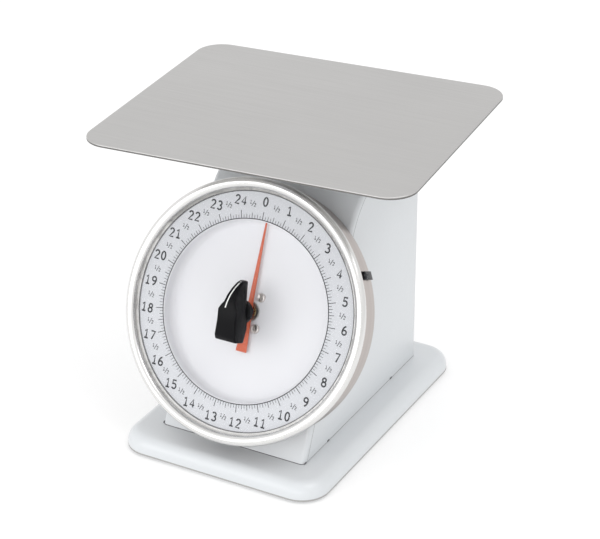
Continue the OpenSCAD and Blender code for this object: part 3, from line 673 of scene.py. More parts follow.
@dataclass
class Workshop:
    """Turns meshes into pieces of the scale."""

    frame: dict[str, Any]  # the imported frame
    dial: DialPlace

    def piece(
        self,
        name: str,
        source: BMesh | bpy.types.Mesh,
        body: Body | None,
        slot: Look,
        node: str = "",
        look: Look | None = None,
        accent: Accent | None = None,
        sharp: float = 35.0,
    ) -> bpy.types.Object:
        """body: Body that it rides on, or None where it spans two bodies and rides on neither.
            slot: Material slot of the record.
            node: Solid that it replaces.
            look: Its finish, where that isn't the slot's own.
            accent: A second finish and the test that picks its faces.
            sharp: Angle in degrees above which an edge stays sharp.

        Returns:
            The object.
        """
        mesh = mesh_from(name, source) if isinstance(source, BMesh) else source
        mesh.name = name
        mesh.shade_smooth()
        mesh.set_sharp_from_angle(angle=math.radians(sharp))
        mesh.materials.clear()
        mesh.materials.append((look or slot).material(self.dial))
        if accent:
            mesh.materials.append(accent[0].material(self.dial))
            for face in mesh.polygons:
                face.material_index = int(accent[1](face))
        obj = put(name, mesh)
        if body:
            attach(obj, body.value)
        if node:
            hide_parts(node)
        LOG.info("%s: %d faces, on %s", name, len(mesh.polygons), body.value if body else "two bodies")
        return obj

    def turned(self, name: str, section: Sequence[Point], steps: int, *place: Any, **looks: Any) -> None:
        """Makes a section a piece that is round about the dial's axis.

        Args:
            name: Name of the piece.
            section: Points in mm: (radius, height over the housing's face).
            steps: Number of steps round the axis.
            place: Body, slot and solid, as for any piece.
            looks: Other arguments of a piece.
        """
        bm = spun(section, steps)
        bm.transform(self.dial.matrix())
        self.piece(name, bm, *place, **looks)

    def dress_solids(self) -> None:
        """Gives every solid of the frame the finish of its material slot."""
        for part in self.frame["record"]["subparts"]:
            materials = self.frame["nodes"][part["node"]].data.materials
            materials.clear()
            materials.append(Look[part["material_slot"].upper()].material(self.dial))


@dataclass
class Unit(ABC):
    """A sub-assembly of the scale. Sizes are in mm, and on the dial heights are from the housing's face."""

    shop: Workshop

    @abstractmethod
    def build(self) -> None:
        """Builds its pieces."""


@dataclass
class Base(Unit):
    """Drawn base pan on four rubber feet."""

    width: float = 170.0
    depth: float = 241.034
    middle: float = -4.332  # Y of the pan's middle
    low: float = 2.0  # height of its lower edge
    high: float = 15.0  # height of its top
    corner: float = 22.0  # radius of its corners in plan
    shoulder: float = 10.0  # radius of its rounded shoulder
    sheet: float = 1.2
    inset: float = 0.06  # how far the pan stands back from its hem
    hem: Point = (1.2, 0.5)  # height and thickness of the hem, a darker strip that paints the shadow under the pan's lower edge
    foot_r: float = 9.0
    foot_inset: float = 20.0  # from the edge to a foot's centre
    foot_rim: float = 1.4  # radius of a foot's lower rim
    foot_taper: Point = (0.8, 3.0)  # how much narrower the rim is, and how far below the top that ends

    def build(self) -> None:
        """Builds the pan, its hem of painted edge shadow and the feet."""
        slab_size = (self.width - 2 * self.inset, self.depth - 2 * self.inset)
        pan = rounded_slab(slab_size, self.low, self.high, self.corner)
        bevel(pan, [e for e in pan.edges if at_height(e, self.high)], self.shoulder, 6)
        pan = walled(moved(open_at(pan, self.low), 0, self.middle, 0), self.sheet)
        self.shop.piece("base_pan", pan, Body.FRAME, Look.WHITE_ENAMEL, "base_plate")
        # The hem is a darker strip that paints the shadow under the pan's lower edge.
        height, thick = self.hem
        hem = strip((self.width, self.depth), self.low, self.low + height, self.corner)
        hem = walled(moved(hem, 0, self.middle, 0), thick)
        self.shop.piece("pan_hem", hem, Body.FRAME, Look.WHITE_ENAMEL, look=Look.PAN_HEM)
        self._feet()

    def _feet(self) -> None:
        """Builds four turned feet with a rounded rim."""
        r, top = self.foot_r, self.high - self.sheet
        narrower, below = self.foot_taper
        rim = (r - narrower - self.foot_rim, self.foot_rim)
        section = [(0, 0), *arc(rim, self.foot_rim, -90, 0, 4), (r, top - below), (r, top), (0, top)]
        x, y = self.width / 2 - self.foot_inset, self.depth / 2 - self.foot_inset
        spots = [Vector((sx * x, self.middle + sy * y, 0)) * MM for sx in (-1, 1) for sy in (-1, 1)]
        feet = joined((spun(section, 48), Matrix.Translation(spot)) for spot in spots)
        self.shop.piece("feet", feet, Body.FRAME, Look.FOOT_RUBBER, "rubber_feet")


@dataclass
class Housing(Unit):
    """Folded sheet casing with a leaning front and a curved top."""

    width: float = 122.0
    front: float = -97.249  # Y of the front foot
    ridge: float = -9.715  # Y at which the front, drawn on, would meet the top
    back: float = 89.885  # Y of the back wall
    foot: float = 15.0  # height of its foot
    top: float = 207.968
    bend: float = 62.0  # radius of the bend from front to top
    back_bend: float = 4.0  # radius of the bend from top to back
    edge: float = 3.5  # radius of its side edges
    sheet: float = 1.2
    post_y: float = 8.285
    post_hole: float = 13.0  # radius of the hole that the post passes through
    cutter: float = 90.0  # length of the tool that cuts it
    joint: Point = (0.45, 0.3)  # height and thickness of the joint line round the foot, a grey strip that paints the shadow of the gap under the casing
    proud: float = 0.06  # how far that line stands out
    front_run: float = 2.0  # how far back its darker front goes, a painted shadow under the front sheet
    notch: Point = (3.0, 1.3)  # length and height of a notch in it, painted dark as the shadow in the notch
    notch_edge: float = 0.25
    notch_places: Triple = (-94.5, -59.0, 46.0)  # Y of the notches on each side
    fold: float = 5.0  # how far the front sheet is folded round onto the sides
    fold_line: float = 0.32  # radius of the line at the fold's edge

    @property
    def lean(self) -> float:
        """Angle of the front from upright, in radians."""
        return math.atan2(self.ridge - self.front, self.top - self.foot)

    @property
    def reach(self) -> float:
        """Distance from the ridge to each end of the front bend."""
        return self.bend * math.tan((math.pi / 2 - self.lean) / 2)

    def build(self) -> None:
        """Builds the casing, the joint line of painted gap shadow round its foot and the fold lines on its
        sides.
        """
        hole, r = bmesh.new(), self.post_hole * MM
        bmesh.ops.create_cone(hole, cap_ends=True, segments=64, radius1=r, radius2=r, depth=self.cutter * MM)
        casing = walled(self._folded(), self.sheet, [moved(hole, 0, self.post_y, self.top)])
        self.shop.piece("casing", casing, Body.FRAME, Look.WHITE_ENAMEL, "housing")
        self._seam()
        self._fold_lines()

    def _folded(self) -> BMesh:
        """Folds the casing: a block with round bends and side edges, open at its foot.

        Returns:
            The casing as a sheet.
        """
        half = self.width / 2
        outline = (
            (self.front, self.foot), (self.ridge, self.top), (self.back, self.top), (self.back, self.foot)
        )
        bm = prism([(-half, y, z) for y, z in outline], (self.width, 0, 0))
        across = [e for e in bm.edges if at_height(e, self.top) and run(e, 1) < TINY]
        front = [e for e in across if e.verts[0].co.y < self.post_y * MM]
        back = [e for e in across if e not in front]
        bevel(bm, front, self.reach, 28)
        bevel(bm, back, self.back_bend, 5)
        sides = [e for e in bm.edges if abs(abs(e.verts[0].co.x) - half * MM) < TINY and run(e, 0) < TINY]
        bevel(bm, [e for e in sides if not at_height(e, self.foot)], self.edge, 5)
        return open_at(bm, self.foot)

    def _seam(self) -> None:
        """Builds the joint line round the foot: painted gap shadow, darker painted shadow in front and at
        each notch.
        """
        height, thick = self.joint
        out = self.width / 2 + self.proud
        size = (2 * out, self.back - self.front + 2 * self.proud)
        line = strip(size, self.foot, self.foot + height, self.edge)
        line = walled(moved(line, 0, (self.front + self.back) / 2, 0), thick)
        parts = [(edit_mesh(line), Matrix())]
        long, high = self.notch[0] / 2, self.notch[1]
        for x in (-out, out):
            for y in self.notch_places:
                low_corner = (x - thick, y - long, self.foot)
                high_corner = (x + thick, y + long, self.foot + high)
                parts.append((box_mesh(low_corner, high_corner, self.notch_edge), Matrix()))

        def dark(face: bpy.types.MeshPolygon) -> bool:
            """Tells whether a face takes the darker painted shadow: in the front line or in a notch."""
            y = face.center.y / MM
            return y < self.front + self.front_run or any(abs(y - n) <= long for n in self.notch_places)

        # The joint line paints the gap shadow round the foot; its front and notches paint a darker shadow.
        seam = {"look": Look.JOINT_LINE, "accent": (Look.SEAM_SHADOW, dark)}
        self.shop.piece("foot_seam", joined(parts), Body.FRAME, Look.WHITE_ENAMEL, **seam)

    def _fold_lines(self) -> None:
        """Builds the fine line on each side where the folded front and top sheet ends."""
        centre = (self.ridge + self.reach, self.top - self.bend)
        curve = arc(centre, self.bend - self.fold, 180 - math.degrees(self.lean), 90, 24)
        start = (self.front + self.fold / math.cos(self.lean), self.foot + self.joint[0])
        points = [start, *curve, (self.back - self.fold, self.top - self.fold)]
        x = self.width / 2 - self.fold_line / 2
        lines = wires([[(s * x, y, z) for y, z in points] for s in (-1, 1)], self.fold_line, 2)
        self.shop.piece("fold_lines", lines, Body.FRAME, Look.WHITE_ENAMEL, look=Look.JOINT_LINE)


@dataclass
class Platform(Unit):
    """Sheet platform with its crossed bars and post."""

    width: float = 254.0
    depth: float = 216.0
    top: float = 242.968  # height of its surface
    lip: float = 2.0  # height of its turned-down lip
    corner: float = 21.0  # radius of its corners in plan
    roll: float = 0.8  # radius of its rolled edge
    sheet: float = 1.2
    turned: float = 4.8  # angle at which it stands turned, in degrees
    post_y: float = 8.285
    bar: Point = (24.0, 6.0)  # width and height of a bar
    bar_edge: float = 1.4  # radius of its edges
    bar_crease: float = 0.5  # angle in radians above which an edge is rounded
    reach: Point = (91.44, 77.76)  # half lengths of the bars along X and Y
    socket_r: float = 11.0
    socket_drop: float = 6.0  # depth of the socket below the bars
    socket_edge: float = 0.8
    socket_play: float = 0.04
    post_r: float = 6.0
    post_low: float = 151.968  # height of the post's shoulder on the carriage
    post_foot: float = 144.268  # height of the end of its threaded foot
    collar: Point = (226.768, 229.668)  # heights of the collar's underside and top
    post_edges: Triple = (0.5, 0.4, 0.6)  # chamfers of the post's foot, shoulder and collar

    def build(self) -> None:
        """Builds the sheet, the bars and the post."""
        turn = Matrix.Rotation(math.radians(self.turned), 4, "Z")
        turn = Matrix.Translation((0, self.post_y * MM, 0)) @ turn
        low, shaded_edge_top = self.top - self.lip, (self.top - self.roll) * MM
        sheet = rounded_slab((self.width, self.depth), low, self.top, self.corner, 16)
        bevel(sheet, [e for e in sheet.edges if at_height(e, self.top)], self.roll, 5)
        open_at(sheet, low).transform(turn)
        # The lip's lower band takes a dark finish: the sheet's rougher cut edge, with painted shade and dark
        # reflection on it.
        cut = (Look.CUT_EDGE, lambda f: abs(f.normal.z) < UPRIGHT and f.center.z < shaded_edge_top)
        place = (Body.PLATFORM, Look.PLATFORM_STAINLESS, "platform")
        self.shop.piece("weighing_sheet", walled(sheet, self.sheet), *place, accent=cut)
        self._spider(turn)
        self._post()

    def _spider(self, turn: Matrix) -> None:
        """Builds the crossed bars with their socket.

        Args:
            turn: Matrix that turns the platform on its post.
        """
        high = self.top - self.sheet
        low, half = high - self.bar[1], self.bar[0] / 2
        cross = box_mesh((-half, -half, low), (half, half, high))
        for axis, reach in enumerate(self.reach):
            for sign in (-1, 1):
                end = max(cross.faces, key=lambda f: sign * (f.normal[axis] + f.calc_center_median()[axis]))
                grown = bmesh.ops.extrude_discrete_faces(cross, faces=[end])["faces"][0]
                step = Vector((0, 0, 0))
                step[axis] = sign * (reach - half) * MM
                bmesh.ops.translate(cross, vec=step, verts=grown.verts)
        bmesh.ops.remove_doubles(cross, verts=cross.verts, dist=TINY)
        sharp = [e for e in cross.edges if e.calc_face_angle(0.0) > self.bar_crease]
        bevel(cross, [e for e in sharp if not at_height(e, high)], self.bar_edge, 3)
        bore, outer, edge = self.post_r + self.socket_play, self.socket_r, self.socket_edge
        foot = low - self.socket_drop
        section = [
            (bore, low), (bore, foot + edge), (bore + edge, foot),
            (outer - edge, foot), (outer, foot + edge), (outer, low),
        ]
        whole = joined(((cross, turn), (spun(section, 64), turn)))
        self.shop.piece("spider", whole, Body.PLATFORM, Look.CAST_ALUMINIUM, "platform_spider")

    def _post(self) -> None:
        """Builds the turned post with its threaded foot and its collar."""
        r, big, shoulder, foot = self.post_r, self.socket_r, self.post_low, self.post_foot
        end = self.top - self.sheet - self.bar[1]
        c0, c1 = self.collar
        thin, small, edge = self.post_edges
        section = [
            (0, foot), (r / 2 - thin, foot), (r / 2, foot + thin), (r / 2, shoulder),
            (r - small, shoulder), (r, shoulder + small), (r, c0), (big - edge, c0), (big, c0 + edge),
            (big, c1 - edge), (big - edge, c1), (r, c1), (r, end - edge), (r - edge, end), (0, end),
        ]
        post = moved(spun(section, 64), 0, self.post_y, 0)
        self.shop.piece("post", post, Body.CARRIAGE, Look.ZINC_STEEL, "platform_post")


@dataclass
class DialCase(Unit):
    """Cup, bezel, clips and bezel screws round the dial."""

    cup_r: float = 95.0
    cup_h: float = 19.5
    cup_wall: float = 1.0
    cup_round: float = 2.5  # radius of the cup's foot
    tube_r: float = 4.55  # radius of the hole in the cup's floor
    rim_r: float = 98.7  # outer radius of the bezel
    rim: float = 25.1  # height of the widest line of the bead
    bead: float = 4.0  # radius of the bead
    bead_ends: Point = (163.0, 160.0)  # angles at which its sheet ends outside and inside
    side_drop: float = 0.6  # how far below the widest line the plain side starts, which takes the darker cup finish as a painted darker reflection
    sheet: float = 1.0
    skirt: float = 12.1  # height of the skirt's lower edge
    skirt_play: float = 0.05
    screw: float = 16.1  # height of the bezel screws
    screw_size: Point = (1.5, 4.8)  # radius and length of a bezel screw
    screw_angles: Triple = (28.5, 148.5, 268.5)
    clip: Triple = (16.0, 6.4, 0.8)  # length, width and thickness of the clip under a screw
    clip_above: float = 3.05  # how far a clip reaches above its screw
    clip_edge: float = 0.3
    clip_seat: float = 96.3  # distance of the clips from the dial's axis

    def build(self) -> None:
        """Builds the cup, the bezel, its clips and its screws."""
        dial = self.shop.dial
        self.shop.turned("cup", self._cup_section(), 192, Body.FRAME, Look.CUP_STEEL, "dial_cup")
        # The bezel's plain side takes the darker cup finish: a painted darker reflection on the same
        # stainless sheet.
        side = (Look.CUP_STEEL, lambda f: dial.height(f.center) < self.rim - self.side_drop)
        place = (Body.FRAME, Look.BEZEL_STAINLESS, "bezel")
        self.shop.turned("rim", self._bezel_section(), 224, *place, accent=side, sharp=28.0)
        self._clips()

    def _clips(self) -> None:
        """Builds the clips on the bezel's skirt and their screws."""
        long, wide, thick = self.clip
        face, high = self.clip_seat + thick, self.screw + self.clip_above
        place = self.shop.dial.matrix()
        turns = [place @ Matrix.Rotation(math.radians(a), 4, "Z") for a in self.screw_angles]
        corners = (self.clip_seat, -wide / 2, high - long), (face, wide / 2, high)
        clips = joined((box_mesh(*corners, self.clip_edge), turn) for turn in turns)
        self.shop.piece("rim_clips", clips, Body.FRAME, Look.BLUED_STEEL, "bezel_clips")
        out = Matrix.Translation((face * MM, 0, self.screw * MM)) @ Matrix.Rotation(math.pi / 2, 4, "Y")
        screws = joined((pan_screw(*self.screw_size), turn @ out) for turn in turns)
        slot = (Look.ZINC_STEEL, "bezel_screws")
        self.shop.piece("rim_screws", screws, Body.FRAME, *slot, look=Look.BLUED_STEEL)

    def _cup_section(self) -> list[Point]:
        """Draws the cup: a floor, a rounded foot and a wall.

        Returns:
            Its section.
        """
        r, t, soft = self.cup_r, self.cup_wall, self.cup_round
        foot = (r - soft, soft)
        return [
            (self.tube_r, 0.0), *arc(foot, soft, -90, 0, 6), (r, self.cup_h), (r - t, self.cup_h),
            *arc(foot, soft - t, 0, -90, 6), (self.tube_r, t),
        ]

    def _bezel_section(self) -> list[Point]:
        """Draws the bezel: a skirt that rolls out into a bead and in over the lens.

        Returns:
            Its section.
        """
        t, b = self.sheet, self.bead
        centre, inner = (self.rim_r - b, self.rim), self.cup_r + self.skirt_play
        out_start = -math.degrees(math.acos((inner + t - centre[0]) / b))
        in_stop = -math.degrees(math.acos((inner - centre[0]) / (b - t)))
        return [
            (inner, self.skirt), (inner + t, self.skirt), *arc(centre, b, out_start, self.bead_ends[0], 36),
            *arc(centre, b - t, self.bead_ends[1], in_stop, 30),
        ]


@dataclass
class Dial(Unit):
    """Dished dial with its ring, lens, screws and print."""

    stand: float = 23.2  # height of the number ring
    depth: float = 10.0  # depth of the sunk middle
    dish_r: float = 67.4  # radius of the sunk middle
    dial_r: float = 92.8  # radius of the dial and the lens
    sheet: float = 0.8
    hole_r: float = 7.5
    foot_round: float = 4.0  # radius of the dish's lower corner
    lip: float = 0.6  # radius of the dish's upper edge
    tint_from: float = 0.5  # how far outside the dish the ring's darker finish starts
    ring_in: float = 88.3  # inner radius of the ring under the lens
    line_r: float = 89.1  # radius up to which that ring is dark
    ring_t: float = 0.8
    ring_wall: float = 1.15  # wall of that ring round the edges of dial and lens
    ring_play: float = 0.05
    lens_t: float = 1.6
    lens_hole: float = 2.05
    screw_r: float = 13.6  # radius on which the dial screws stand
    screw_size: Triple = (1.5, 3.5, 3.4)  # radius, length and radius of the head
    screw_angles: Triple = (-60.0, 60.0, 180.0)
    slot_turn: float = 20.0
    pounds: int = 25
    parts: int = 8  # graduations in a pound
    ink: float = 0.06  # height of the print
    ink_gap: float = 0.01  # how far it lies over the ring
    circle: Point = (67.95, 68.65)  # radii of the printed circle
    tick_start: float = 68.4  # inner radius of the graduations
    ticks: dict[int, Point] = field(  # outer radius and width, by the parts of a pound that one counts
        default_factory=lambda: {8: (74.4, 0.5), 4: (72.6, 0.42), 2: (71.6, 0.36), 1: (71.0, 0.32)}
    )
    numeral_r: float = 81.9
    numeral: Point = (6.6, 1.22)  # height and stroke of a numeral
    half_r: float = 79.4
    half: Point = (4.1, 0.52)  # height and stroke of a half

    def build(self) -> None:
        """Builds the dial, its print, the ring, the lens and the screws."""
        shop, radius = self.shop, self.shop.dial.radius
        # The number ring is darker than the sunk middle of the same plate.
        outer = (Look.NUMBER_RING, lambda f: radius(f.center) > self.dish_r + self.tint_from)
        place = (Body.DIAL, Look.DIAL_ENAMEL, "dial_plate")
        shop.turned("dial_face", self._plate_section(), 192, *place, accent=outer)
        seat = (Look.LENS_SEAT, lambda f: radius(f.center) > self.line_r)
        place = (Body.DIAL, Look.RING_RUBBER, "lens_ring")
        shop.turned("gasket", self._ring_section(), 192, *place, accent=seat)
        back, hole, rim = self.stand + self.ring_t, self.lens_hole, self.dial_r
        front = back + self.lens_t
        section = [(hole, back), (rim, back), (rim, front), (hole, front)]
        shop.turned("clear_sheet", section, 192, Body.DIAL, Look.CLEAR_LENS, "lens")
        seat_point = Vector((self.screw_r, 0, self.stand - self.depth)) * MM
        spots = []
        for angle in self.screw_angles:
            turn = Matrix.Rotation(math.radians(angle), 4, "Z")
            slot = Matrix.Rotation(math.radians(angle / 2 + self.slot_turn), 4, "Z")
            spots.append(shop.dial.matrix() @ turn @ Matrix.Translation(seat_point) @ slot)
        screws = joined((pan_screw(*self.screw_size), spot) for spot in spots)
        place = (Body.DIAL, Look.ZINC_STEEL, "dial_screws")
        shop.piece("face_screws", screws, *place, look=Look.BRIGHT_SCREW)
        self._print()

    def _plate_section(self) -> list[Point]:
        """Draws the dial: number ring, rounded step and sunk middle.

        Returns:
            Its section.
        """
        high, low, r, t = self.stand, self.stand - self.depth, self.dish_r, self.sheet
        soft, lip = self.foot_round, self.lip
        foot = (r - soft, low + soft)
        return [
            (self.hole_r, low), *arc(foot, soft, -90, 0, 10), *arc((r + lip, high - lip), lip, 180, 90, 4),
            (self.dial_r, high), (self.dial_r, high - t), (r + t, high - t),
            *arc(foot, soft + t, 0, -90, 10), (self.hole_r, low - t),
        ]

    def _ring_section(self) -> list[Point]:
        """Draws the ring that grips dial and lens.

        Returns:
            Its section.
        """
        grip, low = self.dial_r + self.ring_play, self.stand - self.sheet
        out, mid = grip + self.ring_wall, self.stand + self.ring_t
        high = mid + self.lens_t
        return [
            (self.ring_in, self.stand), (grip, self.stand), (grip, low), (out, low), (out, high),
            (grip, high), (grip, mid), (self.line_r, mid), (self.ring_in, mid),
        ]

    def _print(self) -> None:
        """Builds the printed circle, graduations, numerals and halves."""
        low, (r0, r1) = self.stand + self.ink_gap, self.circle
        high = low + self.ink
        place, ink = (Body.DIAL, Look.DIAL_ENAMEL), {"look": Look.DIAL_INK}
        section = [(r0, low), (r1, low), (r1, high), (r0, high)]
        self.shop.turned("printed_circle", section, 192, *place, **ink)
        self.shop.piece("graduations", self._graduations(low, high), *place, **ink)
        lettering = Lettering()
        pounds = range(self.pounds)
        words = [(lettering.word(str(n), *self.numeral), self._spot(n, self.numeral_r)) for n in pounds]
        self.shop.piece("numerals", joined(words), *place, **ink)
        halves = [(lettering.half(*self.half), self._spot(n + 0.5, self.half_r)) for n in pounds]
        self.shop.piece("halves", joined(halves), *place, **ink)

    def _spot(self, pound: float, radius: float) -> Matrix:
        """Places a number, which stands upright at its graduation.

        Args:
            pound: Reading at the graduation.
            radius: Distance from the dial's axis.

        Returns:
            Its matrix.
        """
        angle = math.tau * pound / self.pounds
        spot = Vector((radius * math.sin(angle), radius * math.cos(angle), self.stand + self.ink_gap))
        return self.shop.dial.matrix() @ Matrix.Translation(spot * MM)

    def _graduations(self, low: float, high: float) -> BMesh:
        """Builds the graduations, which run outwards from the printed circle.

        Args:
            low: Height of their underside.
            high: Height of their top.

        Returns:
            All of them as one mesh.
        """
        ticks, count = [], self.pounds * self.parts
        for i in range(count):
            stop, wide = self.ticks[math.gcd(i, self.parts)]
            tick = box_mesh((-wide / 2, self.tick_start, low), (wide / 2, stop, high))
            turn = Matrix.Rotation(-math.tau * i / count, 4, "Z")
            ticks.append((tick, self.shop.dial.matrix() @ turn))
        return joined(ticks)


@dataclass
class Lettering:
    """Plain stroke numerals, drawn on a box 0.6 wide and 1 high."""

    box: float = 0.6
    advance: float = 0.84  # from one numeral to the next, as a part of the height
    flat: float = 0.06  # height of a stroke as a part of its width
    small: float = 0.62  # height of a digit in a fraction

    def strokes(self, sign: str) -> list[list[Point]]:
        """Gives the strokes of one sign.

        Args:
            sign: A digit.

        Returns:
            Lists of points, each one stroke.
        """
        oval = self._oval
        lower = oval(0.30, 0.28, 0.25, 0.25, 0, 360)
        shapes: dict[str, list[list[Point]]] = {
            "0": [oval(0.30, 0.50, 0.25, 0.47, 0, 360)],
            "1": [[(0.10, 0.78), (0.32, 0.97), (0.32, 0.03)], [(0.08, 0.03), (0.56, 0.03)]],
            "2": [oval(0.30, 0.72, 0.24, 0.25, 170, -35) + [(0.05, 0.03), (0.57, 0.03)]],
            "3": [oval(0.28, 0.74, 0.23, 0.23, 150, -90), oval(0.28, 0.27, 0.27, 0.25, 90, -150)],
            "4": [[(0.42, 0.03), (0.42, 0.97), (0.03, 0.30), (0.58, 0.30)]],
            "5": [[(0.53, 0.97), (0.11, 0.97), (0.08, 0.55)] + oval(0.28, 0.31, 0.27, 0.29, 120, -150)],
            "6": [lower, oval(0.47, 0.28, 0.42, 0.69, 180, 95)],
            "7": [[(0.04, 0.97), (0.56, 0.97), (0.22, 0.03)]],
            "8": [lower, oval(0.30, 0.75, 0.21, 0.22, 0, 360)],
        }
        if sign == "9":
            return [[(self.box - x, 1.0 - y) for x, y in stroke] for stroke in shapes["6"]]
        return shapes[sign]

    def _oval(self, x: float, y: float, rx: float, ry: float, start: float, stop: float) -> list[Point]:
        """Returns points along an oval from one angle to another."""
        unit = arc((0.0, 0.0), 1.0, start, stop, max(6, int(abs(stop - start) / 24)))
        return [(x + rx * u, y + ry * v) for u, v in unit]

    def mesh(self, strokes: Sequence[Sequence[Point]], height: float, weight: float) -> BMesh:
        """Draws strokes as flat round-edged lines.

        Args:
            strokes: Points, as parts of the height.
            height: Height in mm.
            weight: Width of the line in mm.

        Returns:
            The lines, lying on z = 0.
        """
        bm = wires(([(x * height, y * height, 0.0) for x, y in stroke] for stroke in strokes), weight / 2)
        bmesh.ops.scale(bm, vec=(1, 1, self.flat), verts=bm.verts)
        return moved(bm, 0, 0, self.flat * weight / 2)

    def word(self, text: str, height: float, weight: float) -> BMesh:
        """Draws a number centred on the origin.

        Args:
            text: Its digits.
            height: Height in mm.
            weight: Width of the line in mm.

        Returns:
            The number.
        """
        left = (self.advance * (len(text) - 1) + self.box) / 2
        strokes = [
            [(x + self.advance * i - left, y - 0.5) for x, y in stroke]
            for i, sign in enumerate(text)
            for stroke in self.strokes(sign)
        ]
        return self.mesh(strokes, height, weight)

    def half(self, height: float, weight: float) -> BMesh:
        """Draws the fraction one half, centred on the origin.

        Args:
            height: Height in mm.
            weight: Width of the line in mm.

        Returns:
            The fraction.
        """
        small = self.small
        strokes = [[(-0.22, -0.5), (0.22, 0.5)]]
        for sign, (dx, dy) in (("1", (-0.68, 0.5 - small)), ("2", (0.22, -0.5))):
            strokes += [[(dx + x * small, dy + y * small) for x, y in s] for s in self.strokes(sign)]
        return self.mesh(strokes, height, weight)


@dataclass
class Hand(Unit):
    """Thin painted pointer."""

    back: float = 15.3  # height of its underside
    thick: float = 0.5
    tip: float = 66.5  # distance from the axis to its tip
    tail: float = 30.5  # distance from the axis to its tail
    widths: Triple = (9.0, 3.9, 1.3)  # at the tail, the waist and the tip
    waist: float = 10.167  # distance from the axis to its waist
    edge: float = 0.12

    def build(self) -> None:
        """Builds the pointer."""
        half, slim, end = (width / 2 for width in self.widths)
        outline = [
            (-half, -self.tail), (half, -self.tail), (slim, self.waist), (end, self.tip), (-end, self.tip),
            (-slim, self.waist),
        ]
        bm = prism([(x, y, self.back) for x, y in outline], (0, 0, self.thick))
        bevel(bm, bm.edges, self.edge, 2)
        bm.transform(self.shop.dial.matrix())
        self.shop.piece("hand", bm, Body.POINTER, Look.POINTER_ORANGE, "pointer")


@dataclass
class Knob(Unit):
    """Pointer-shaped tare knob on the lens. Its own heights are from the lens."""

    seat: float = 25.6  # height of the lens's front
    hub_r: float = 9.0
    hub_h: float = 6.0  # height of the hub, whose top is inside the body
    hub_edge: float = 0.5
    hub_taper: float = 0.3
    hub_round: float = 1.5
    side: tuple[Point, ...] = (  # outline from the side: (along the beak, height)
        (-21.5, 8.0), (-21.5, 18.3), (-18.3, 21.2), (-6.5, 24.0), (1.0, 24.0), (4.5, 24.0), (7.5, 23.9),
        (12.5, 22.4), (17.6, 18.7), (22.3, 13.2), (23.5, 9.6), (23.5, 5.0), (4.5, 5.0), (1.0, 5.0),
        (-11.0, 5.0),
    )
    half_widths: tuple[Point, ...] = ((-21.5, 9.7), (1.0, 7.6), (4.5, 5.7), (23.5, 2.4))  # of the body's foot
    draft: float = 0.88  # part of the width that is left at the ridge
    edge: float = 1.1
    crease: float = 0.35  # angle in radians above which an edge is rounded
    weld: float = 0.01  # corners nearer than this are joined
    line: Point = (3.0, 22.6)  # ends of the white line along the beak
    line_x: Point = (-2.3, 0.3)  # places of those ends across the beak
    line_half: float = 0.45  # half its width
    line_lift: float = 0.02
    line_thick: float = 0.08
    line_steps: int = 14

    def build(self) -> None:
        """Builds the knob and the white line on its ridge."""
        place = self.shop.dial.matrix() @ Matrix.Translation((0, 0, self.seat * MM))
        r, h, edge, soft = self.hub_r, self.hub_h, self.hub_edge, self.hub_round
        top = arc((r - self.hub_taper - soft, h - soft), soft, 0, 90, 4)
        hub = spun([(0, 0), (r - edge, 0), (r, edge), *top, (0, h)], 72)
        whole = joined(((self._blade(), place), (hub, place)))
        self.shop.piece("tare_knob", whole, Body.DIAL, Look.BLACK_PLASTIC, "knob", sharp=40.0)
        line = self._line()
        line.transform(place)
        self.shop.piece("knob_line", line, Body.DIAL, Look.BLACK_PLASTIC, look=Look.WHITE_LINE)

    def _blade(self) -> BMesh:
        """Builds the body: the side outline drawn out, then narrowed to the ridge and the beak.

        Returns:
            The body.
        """
        bm = prism([(-1.0, u, e) for u, e in self.side], (2.0, 0, 0))
        foot, ridge = self.side[0][1], max(e for _, e in self.side)
        for v in bm.verts:
            rise = (v.co.z / MM - foot) / (ridge - foot)
            v.co.x *= read_line(self.half_widths, v.co.y / MM) * (1.0 - (1.0 - self.draft) * rise)
        bm.normal_update()
        bevel(bm, [e for e in bm.edges if e.calc_face_angle(0.0) > self.crease], self.edge, 3)
        bmesh.ops.remove_doubles(bm, verts=bm.verts, dist=self.weld * MM)
        bmesh.ops.dissolve_degenerate(bm, edges=bm.edges, dist=TINY)
        return bm

    def _line(self) -> BMesh:
        """Builds the white line, a thin strip that lies on the ridge.

        Returns:
            The line.
        """
        upper = [(u, e) for u, e in self.side if e > self.side[0][1]]
        (start, stop), (x0, x1), count = self.line, self.line_x, self.line_steps
        bm = bmesh.new()
        rows = []
        for i in range(count + 1):
            u, x = start + (stop - start) * i / count, x0 + (x1 - x0) * i / count
            e = read_line(upper, u) + self.line_lift
            ends = [Vector((x + s * self.line_half, u, e)) * MM for s in (-1, 1)]
            rows.append(bm.edges.new([bm.verts.new(end) for end in ends]))
        for a, b in zip(rows, rows[1:]):
            bmesh.ops.bridge_loops(bm, edges=[a, b])
        bmesh.ops.recalc_face_normals(bm, faces=bm.faces)
        bmesh.ops.solidify(bm, geom=bm.faces[:], thickness=-self.line_thick * MM)
        bmesh.ops.recalc_face_normals(bm, faces=bm.faces)
        return bm


